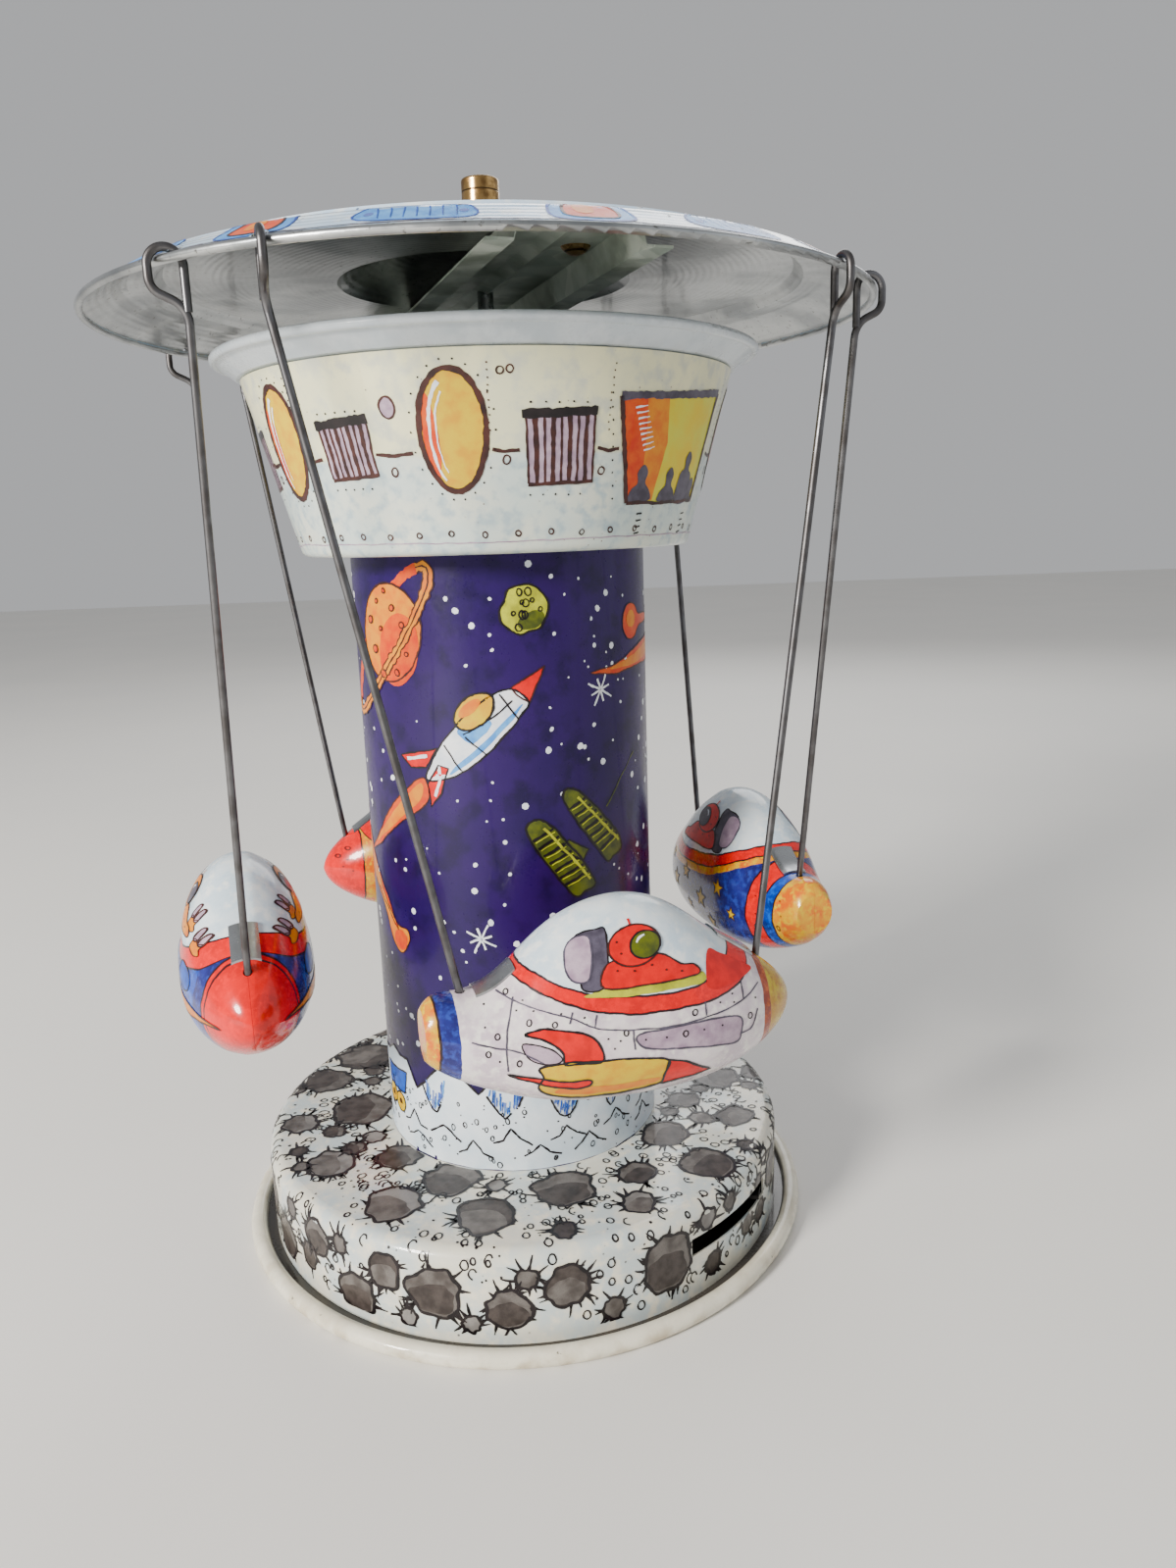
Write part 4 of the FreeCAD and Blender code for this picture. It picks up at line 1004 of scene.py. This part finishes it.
def porthole(art, u, tilt):
    oval = ellipse((u, 26.6), 6.9, 12.6, tilt)
    art.fill(oval, "yellow", 0)
    art.fill(ellipse((u - 4.6, 25.6), 1.6, 9.2, tilt + 4), "orange", 1)
    art.line(ellipse((u - 0.8, 26.4), 4.0, 10.6, tilt, 105, 250), 0.9, "white", 2, taper=0.5)
    art.line(ellipse((u + 0.4, 26.4), 3.8, 9.6, tilt, 120, 240), 0.5, "white", 2, taper=0.6)
    art.line(oval, 1.25, "brown", 3, closed=True)
    for index in range(22):
        angle = FULL_TURN * index / 22
        art.dot((u + 8.8 * math.cos(angle), 26.6 + 14.4 * math.sin(angle)), 0.22)


def vent(art, left, right, low, high):
    panel = [(left, high), (right, high + 0.6), (right + 0.4, low + 0.4), (left + 0.6, low)]
    art.fill(panel, "mauve")
    bars = 8
    for index in range(bars + 1):
        x = left + (right - left) * index / bars
        width = 1.0 if index % 2 else 0.55
        art.line([(x, high), (x + 0.5, low + 0.3)], width, "brown", 2)
    art.line([(left - 0.8, high), (right + 0.5, high + 0.7)], 1.9, "black", 3)
    art.line([(left + 0.4, low), (right + 0.6, low + 0.5)], 0.8, "brown", 3)
    for index in range(5):
        x = left + (right - left) * (index + 0.3) / 5
        art.dot((x, high + 2.4), 0.24)
        art.dot((x, low - 2.2), 0.24)


def lounge(art, left):
    """A wide lit window with plain rounded figures in silhouette."""
    frame_line = [(left - 0.5, 33.5), (left + 18, 34.6), (left + 35, 36.4), (left + 33, 11.2),
                  (left + 16, 10.4), (left + 4.5, 10.6)]
    art.fill(frame_line, "glow")
    art.fill([(left - 0.2, 33.2), (left + 13, 33.8), (left + 15, 24), (left + 13, 11),
              (left + 4.6, 11.2)], "amber", 1)
    art.fill([(left, 33.0), (left + 6.5, 33.2), (left + 8, 24), (left + 8.6, 11.4),
              (left + 4.8, 11.4)], "orange", 2)
    for index in range(9):
        x = left + 3.5 + 0.5 * index
        art.line([(x, 31 - 1.1 * index), (x + 3.2, 31.8 - 1.1 * index)], 0.45, "white", 3, taper=0.6)
    for offset, height in ((8.5, 19.0), (18.5, 18.6), (26.0, 22.4), (30.5, 16.5)):
        x = left + offset
        figure = [(x - 3.4, 10.9), (x - 3.0, height - 5.6), (x - 1.2, height - 3.9),
                  (x - 1.6, height - 1.6), (x, height), (x + 1.6, height - 1.6),
                  (x + 1.2, height - 3.9), (x + 3.0, height - 5.6), (x + 3.4, 11.0)]
        art.fill(smooth(figure), "slate", 4)
    art.line(frame_line[:3], 1.7, "slate", 5)
    art.line([frame_line[0], (left + 1.5, 24), frame_line[-1]], 1.1, "brown", 5)
    art.line(frame_line[3:], 0.8, "brown", 5)
    art.line(frame_line[2:4], 1.1, "brown", 5)
    for index in range(9):
        art.dot((left - 2.6 + 0.35 * index, 34 - 2.8 * index), 0.24)
    for column in (left + 9.5, left + 29.5):
        for row in range(4):
            art.line([(column - 0.9, 8.0 - 1.5 * row), (column + 0.9, 8.2 - 1.5 * row)], 0.4)


def draw_head():
    """Ship's hull print: the seen half and the same again behind."""
    draw = random.Random(3)
    surface = spun_surface("head_shell", [HEAD_LOW, HEAD_HIGH], HEAD_MIDDLE_RADIUS)
    art = Print("head_print", surface, 0.22, 2.0)
    period = math.pi * HEAD_MIDDLE_RADIUS
    for shift in (0.0, period):
        art.place = lambda u, v, shift=shift: (u + shift, v)
        porthole(art, -53.5, -6)
        vent(art, -39.5, -26.6, 17.6, 29.4)
        porthole(art, -8, 0)
        vent(art, 7.0, 21.8, 15.0, 29.6)
        lounge(art, 28)
        porthole(art, 78, 0)
        vent(art, 92, 105.5, 16.5, 29.4)
        for left, right in ((-68, -61), (-46, -41), (-25.5, -17), (-0.2, 5.6), (23, 28.5),
                            (65, 70), (86, 91), (106.5, 111)):
            middle = (left + right) / 2
            art.line([(left, 22.6), (middle, 22.0), (right, 22.4)], 0.75, "brown", 2)
        art.shape(smooth(ellipse((-21, 32), 1.7, 2.2, 0, step=45)), "mauve", 0.45, "brown")
        for centre in ((2, 38.4), (3.9, 38.6)):
            art.ring(centre, 0.7, 0.32, "brown")
        for index in range(22):
            u = -66 + 7.9 * index
            art.ring((u, 4.6 + 0.25 * math.sin(index * 2.1)), 0.62, 0.34, "brown", tall=1.0)
        for spot in ((-21.8, 18.6), (2.8, 20.4), (24.5, 17.8), (-45, 17.2), (69, 18.5), (109, 18.8)):
            art.ring(spot, 0.75, 0.36, "brown")
        art.line([(-68, 3.2), (-30, 3.0), (-4, 2.7), (30, 3.0), (70, 3.1), (104, 2.8)], 0.25, "mauve", 1)
        for seam in (-46.5, -0.5, 25.2, 67, 90):
            for row in range(10):
                art.dot((seam + draw.uniform(-0.2, 0.2), 26.5 + 1.5 * row), 0.2, "brown")
    return art.finish("stand", "hull_litho")


def on_canopy(azimuth, radius):
    """Places a flat drawing on the canopy, its foot towards the hub."""
    def place(a, b):
        return azimuth + math.degrees(a / (radius + b)), radius + b
    return place


def canopy_band(art):
    """Lit domes with blue plates between them."""
    count, first = 9, 12.6
    for index in range(count):
        azimuth = first + 360 * index / count
        art.place = on_canopy(azimuth, 84)
        dome = smooth([(-7.5, 7.2), (-6.6, 0.5), (-3.6, -4.2), (0, -5.6), (3.6, -4.2),
                       (6.6, 0.5), (7.5, 7.2), (0, 8.6)])
        art.shape(dome, "sky", 0.5, "cobalt")
        lamp = smooth([(-4.8, 6.2), (-4.4, 1.2), (0, -2.8), (4.4, 1.2), (4.8, 6.2), (0, 7.2)])
        art.shape(lamp, "orange", 0.5, "brown", 1)
        art.fill(ellipse((-1.0, 2.6), 2.0, 2.6), "amber", 2)
        for offset in (-14.5, 14.5):
            art.place = on_canopy(azimuth + offset, 88)
            art.dot((0, 0), 0.9, "dusk", 1)
        art.place = on_canopy(azimuth + 180 / count, 84)
        plate = smooth([(-10, 6.8), (-9, 1.0), (-3, -0.6), (5, 0.2), (10, 2.6), (9, 7.4)])
        art.shape(plate, "sky", 0.4, "cobalt")
        for line in range(7):
            x = -7 + 2.3 * line
            art.line([(x, 1.6), (x + 0.6, 6.4)], 0.3, "cobalt", 3, taper=0.5)


def canopy_panels(art):
    """Riveted seams, rings, lamps and hatches inside the band."""
    seams, lamps = 24, 6
    for index in range(seams):
        art.place = on_canopy(4 + 360 * index / seams, 60)
        outer, inner = 14.5, -21.0 if index % 2 else -4.0
        art.line([(0, outer), (0.4, (outer + inner) / 2), (0, inner)], 0.45, "slate", 1)
        for row in range(6):
            art.dot((1.6, 13 - 3.2 * row), 0.3, "slate", 1)
    for radius, width in ((92.6, 0.5), (77.2, 0.5), (56.0, 0.4), (38.0, 0.5), (13.0, 0.6)):
        art.place = on_canopy(0, radius)
        art.line([(math.radians(azimuth) * radius, 0) for azimuth in range(0, 361, 3)], width, "slate", 1)
    for index in range(lamps):
        art.place = on_canopy(34 + 360 * index / lamps, 66)
        art.ring((0, 0), 4.6, 0.5, "cobalt", 2, tall=1.0)
        art.fill(ellipse((0, 0), 3.9, 3.9), "glow", 0)
        art.place = on_canopy(4 + 360 * index / lamps, 47)
        art.shape([(-4, 3), (4, 3), (3, -3), (-3, -3)], "sky", 0.4, "cobalt")


def draw_canopy():
    draw = random.Random(8)
    tree = tree_of("canopy_disc")

    def surface(azimuth, radius):
        angle = math.radians(azimuth)
        start = Vector((radius * math.sin(angle), -radius * math.cos(angle), CANOPY_PROBE_HEIGHT))
        return landed(tree, start, Vector((0, 0, -1)), CANOPY_PROBE_REACH)

    art = Print("canopy_skin", surface, 0.22, 1.6)
    canopy_band(art)
    canopy_panels(art)
    for _ in range(260):
        art.place = on_canopy(draw.uniform(0, 360), draw.uniform(16, 91))
        art.dot((0, 0), draw.uniform(0.2, 0.45), draw.choice(("slate", "cobalt", "black")), 1)
    return art.finish("carousel", "canopy_litho")


# Gondola drawings, in side view: millimetres along the hull and up.

def pilot(art, suit, shade):
    """A plain helmeted figure in a padded seat, behind the glass."""
    def outlined(outline, ink_name, width, edge, layer):
        art.fill(outline, ink_name, layer)
        art.line(outline, width, edge, layer + 1, closed=True)

    outlined(smooth([(-8, 108.4), (-3, 109.8), (-0.8, 108.6), (-1, 95.2), (-6, 94.6), (-6.6, 100)]),
             "slate", 0.4, "black", 0)
    outlined(smooth([(-9.8, 106), (-7.6, 108.6), (-4.2, 107.4), (-4.6, 97.4), (-8, 97), (-10, 101)]),
             "mauve", 0.4, "slate", 2)
    outlined(smooth([(-1.5, 94.2), (-1.2, 99.6), (2, 101.2), (11, 101), (15.6, 97.6),
                     (18.8, 96.8), (19.4, 94.0), (9, 93.4)]), suit, 0.45, "brown", 4)
    outlined(ellipse((5.4, 104.2), 5.8, 5.4), suit, 0.5, "brown", 6)
    outlined(ellipse((7.8, 104.0), 3.4, 3.6), shade, 0.45, "black", 8)
    art.line(ellipse((8.0, 104.4), 2.2, 2.2, 0, 100, 170), 0.5, "white", 10)
    art.line([(4.6, 109.4), (4.2, 111.4)], 0.5, suit, 6)
    for x, y in ((1.6, 105.6), (2.4, 102.4), (1.4, 98.2), (5.2, 97.6), (9, 98.4), (12.4, 96.6),
                 (15.8, 95.6)):
        art.dot((x, y), 0.28, "brown", 8)


def rivets(art, points, ink_name="black"):
    for index, point in enumerate(points):
        if index % 3 == 0:
            art.ring(point, 0.55, 0.3, ink_name)
        else:
            art.dot(point, 0.24, ink_name)


def rocket_white(art):
    art.fill(smooth([(21.6, 92.6), (22.2, 99.4), (25, 98.4), (30, 95.6), (33, 93.4),
                     (28, 91.0), (23, 90.4)]), "red", 1)
    art.fill(smooth([(-6, 93.6), (1, 94.6), (8, 94.4), (16, 94.2), (20.6, 95), (20.8, 92.4),
                     (12, 92.0), (2, 92.2)]), "lime", 0)
    fin = smooth([(-19, 87.2), (-15, 87.8), (-10, 86.6), (-6, 85.4), (-3.2, 83), (-2.2, 78.8),
                  (-7, 78.9), (-10.4, 79.2), (-10.8, 81.8), (-13, 84), (-16, 85.9)])
    art.shape(smooth([(-19.4, 85.2), (-14, 83.4), (-11, 80.6), (-14, 79.9), (-18, 81.6)]), "mauve", 0.3)
    art.shape(fin, "red", 0.5)
    pod = smooth([(-16, 79.4), (-10, 79.6), (-4, 79), (3, 78.3), (8, 77.5), (12.6, 76.2), (11.4, 73.2),
                  (10.2, 70.9), (2, 70.2), (-8, 70.8), (-14, 72.4), (-16.6, 74.6), (-15.4, 77)])
    art.shape(pod, "yellow", 0.5, "black", 1)
    art.fill(smooth([(-13, 72.8), (-6, 71.4), (4, 71), (9.8, 71.6), (10, 72.6), (0, 72.6), (-10, 74)]),
             "amber", 2)
    art.shape([(12.6, 76.4), (16.4, 75.2), (20, 73.2), (22.4, 71.9), (17, 71.1), (10.6, 70.8),
               (11.6, 73.4)], "red", 0.45, "black", 2)
    art.shape(smooth([(-23.2, 78.9), (-16, 76.9), (-10, 75.2), (-5.2, 74.8), (-5.6, 73.5),
                      (-9, 73.4), (-15, 75.2)]), "red", 0.45, "black", 3)
    art.shape(smooth([(6, 83.2), (14, 83.6), (24, 83.8), (29.4, 83.0), (29.8, 79.6),
                      (28, 77.2), (18, 78.2), (9, 79.4), (5.8, 81)]), "mauve", 0.4, "slate")
    lines = (((-25.5, 97.6), (-20, 94), (-13, 91), (-8, 88.8), (-3.5, 86.2), (2, 84.9),
              (12, 83.9), (22, 84.6), (30, 86.6), (34.5, 90)),
             ((-30.5, 87), (-26, 85.4), (-20, 83.4), (-15, 80.2)),
             ((-21.5, 95.6), (-22.8, 88), (-23, 79.5)), ((-8.6, 90.6), (-9.2, 88)),
             ((4.6, 84.4), (4.8, 80)), ((21, 88), (21.2, 84.8)), ((30, 91), (30.4, 87)),
             ((-3.4, 89.2), (-3.8, 86.4)), ((29.8, 79), (32.5, 80), (34, 84)))
    for line in lines:
        art.line(smooth(list(line), False), 0.34, "slate", 2)
    rivets(art, ((-23.2, 97), (-28, 95), (-27.6, 90), (-27, 84), (-20.8, 92.6), (-19.4, 94.6),
                 (-18, 89.6), (-17, 92), (-11, 90.6), (-12.4, 88.4), (-6, 89), (-5.6, 87.4),
                 (-25, 87.6), (-1, 83.4), (1.6, 82.6), (3, 84.2), (7.2, 81.8), (12, 81.6),
                 (16.4, 81.6), (20.6, 81.8), (25, 82), (18.6, 86), (24.6, 87.2), (27.6, 88.6),
                 (32, 82.8), (33.4, 86.6), (-24.6, 82), (-20.4, 81), (0.4, 81), (28, 86.6)))


def star(centre, reach):
    points = []
    for index in range(10):
        angle = math.radians(90 + 36 * index)
        away = reach if index % 2 == 0 else 0.42 * reach
        points.append((centre[0] + away * math.cos(angle), centre[1] + away * math.sin(angle)))
    return points


def rocket_navy(art):
    for x, y, reach in ((-8, 84.6, 3.0), (2, 78.4, 3.4), (13, 83.6, 2.8), (22, 79.4, 3.2),
                        (28, 86.2, 2.2), (-2, 72.6, 2.4), (-15, 79, 2.2), (12, 74, 2.0)):
        art.shape(star((x, y), reach), "yellow", 0.35, "brown")
    rivets(art, ((-25, 93), (-24.6, 88), (-25.4, 83), (-25, 79), (-34, 90), (-35, 86),
                 (-33.6, 82), (38, 92), (39, 88), (38.4, 84)), "brown")


def rocket_gold(art):
    art.shape(smooth([(-22, 84), (-8, 86.4), (10, 85), (24, 83.4), (30, 81), (22, 78.6),
                      (4, 77.6), (-14, 79)]), "orange", 0.45)
    art.shape([(-26, 80), (-12, 76.8), (-6, 73.4), (-18, 74.6)], "red", 0.45)
    for x in (-14, -4, 6, 16):
        art.shape(ellipse((x, 81.8), 2.6, 2.2), "sky", 0.45)
    rivets(art, ((37.5, 91), (38.6, 87), (37.8, 83), (40.4, 89), (40, 85), (28, 86), (29, 89),
                 (-27, 90), (-26, 86), (0, 74.4), (8, 73.6), (18, 75)), "brown")


def rocket_blue(art):
    spike = smooth([(14, 80.6), (24, 80.2), (33, 80.6), (40.4, 81.6), (33, 79.0), (24, 76.6), (14, 76.4)])
    art.shape(spike, "amber", 0.45, "brown", 1)
    art.shape(smooth([(-20, 84), (-6, 86.2), (8, 85.4), (14, 82), (8, 79), (-8, 78.6), (-18, 80)]), "sky",
              0.45)
    art.shape([(-26, 79), (-10, 76), (-4, 72.4), (-18, 73.2)], "red", 0.45)
    art.shape(smooth([(20, 88.4), (26, 88), (28, 84.4), (24, 82.4), (19, 84)]), "cobalt", 0.4)
    for x, y in ((25.4, 93.4), (19.2, 97.2)):
        art.shape(smooth([(x - 2.6, y + 0.2), (x - 2.0, y + 3.0), (x - 0.4, y + 2.2), (x + 1.2, y + 2.9),
                          (x + 1.0, y + 1.2), (x + 2.0, y), (x + 0.2, y - 0.8)]), "amber", 0.3, "brown", 1)
        for bar, foot in ((-1.9, 2.6), (0.3, 2.2)):
            art.shape(smooth([(x + bar - 0.7, y + foot), (x + bar - 0.5, y + foot + 3.4),
                              (x + bar + 0.5, y + foot + 3.6), (x + bar + 0.8, y + foot + 0.2)]),
                      "mauve", 0.45, "brown", 2)
    rivets(art, ((-28, 92), (-28, 87), (-27, 82), (0, 81.8), (4, 82.6), (-4, 82.2),
                 (-12, 82), (16, 87), (-30, 79)))


def draw_rockets():
    drawings = ((rocket_white, "red", "olive"), (rocket_navy, "red", "slate"),
                (rocket_gold, "lime", "cobalt"), (rocket_blue, "amber", "slate"))

    def seated(u, v):
        """Lowers the pilot to fit under the dome."""
        seat, lift, squash = 94.0, 0.5, 0.84
        return u, seat + lift + (v - seat) * squash

    for number, (drawing, suit, visor) in enumerate(drawings, start=1):
        for side, word in ((-1, "outer"), (1, "inner")):
            art = Print("rocket_%d_%s_print" % (number, word), hull_surface(number, side), 0.16, 0.9)
            drawing(art)
            art.place = seated
            pilot(art, suit, visor)
            art.finish("gondola_%d" % number, SLOTS[number - 1])


# ------------------------------------------------------------------ studio

def add_camera():
    """Camera at the photograph's angle: a wide phone lens close to the toy."""
    data = bpy.data.cameras.new("studio_camera")
    data.sensor_fit = "VERTICAL"
    data.sensor_height = 36.0
    data.lens = 25.9
    data.clip_start = 0.01
    camera = bpy.data.objects.new("studio_camera", data)
    place = (0.0, -0.3027, 0.1903)
    yaw, pitch, roll = (math.radians(angle) for angle in (4.10, 13.03, -1.87))
    ahead = Vector((math.sin(yaw) * math.cos(pitch), math.cos(yaw) * math.cos(pitch), -math.sin(pitch)))
    level = ahead.cross(Vector((0, 0, 1))).normalized()
    raised = level.cross(ahead)
    right = math.cos(roll) * level + math.sin(roll) * raised
    top = -math.sin(roll) * level + math.cos(roll) * raised
    matrix = Matrix((right, top, -ahead)).transposed().to_4x4()
    matrix.translation = place
    camera.matrix_world = matrix
    bpy.context.scene.collection.objects.link(camera)
    bpy.context.scene.camera = camera


def add_lamp(name, place, aim, size, power, tint):
    data = bpy.data.lights.new(name, "AREA")
    data.shape = "DISK"
    data.size = size
    data.energy = power
    data.color = tint
    lamp = bpy.data.objects.new(name, data)
    lamp.location = place
    lamp.rotation_euler = (Vector(aim) - Vector(place)).to_track_quat("-Z", "Y").to_euler()
    bpy.context.scene.collection.objects.link(lamp)


def add_studio():
    """Pale floor, a soft key from the left and a dim fill."""
    finish = Finish("studio_floor")
    cloud = finish.noise(160.0, 2.0)
    finish.colour(finish.mix(cloud, srgb(232, 230, 226), srgb(224, 223, 220)))
    finish.roughness(finish.scaled(finish.noise(12.0), 0.55, 0.7))
    reach = 3.0
    mesh = bpy.data.meshes.new("studio_floor")
    mesh.from_pydata([(-reach, -reach, 0), (reach, -reach, 0), (reach, reach, 0),
                      (-reach, reach, 0)], [], [(0, 1, 2, 3)])
    mesh.materials.append(finish.material)
    floor = bpy.data.objects.new("studio_floor", mesh)
    bpy.context.scene.collection.objects.link(floor)
    world = bpy.data.worlds.new("studio_world")
    world.use_nodes = True
    background = world.node_tree.nodes["Background"].inputs
    background["Color"].default_value = (0.86, 0.87, 0.89, 1)
    background["Strength"].default_value = 0.54
    bpy.context.scene.world = world
    middle = (0.0, 0.0, 0.14)
    add_lamp("key_lamp", (-0.95, -0.85, 0.62), middle, 0.34, 38.0, (1.0, 0.96, 0.90))
    add_lamp("fill_lamp", (1.25, -0.35, 0.55), middle, 1.6, 3.0, (0.90, 0.95, 1.0))
    add_lamp("back_lamp", (0.3, 0.95, 0.8), middle, 0.8, 5.0, (1.0, 1.0, 1.0))


# ------------------------------------------------------------------ scene

FINISHES = make_finishes()
INKS = {name: ink(name, *recipe) for name, recipe in INK_TONES.items()}

for part in frame["record"]["subparts"]:
    node = frame["nodes"][part["node"]]
    node.data.materials.clear()
    node.data.materials.append(FINISHES[part["material_slot"]])

noise.seed_set(7)      # the inks' wander would otherwise follow the clock
add_camera()
add_studio()
draw_housing()
draw_column()
draw_head()
draw_canopy()
draw_rockets()
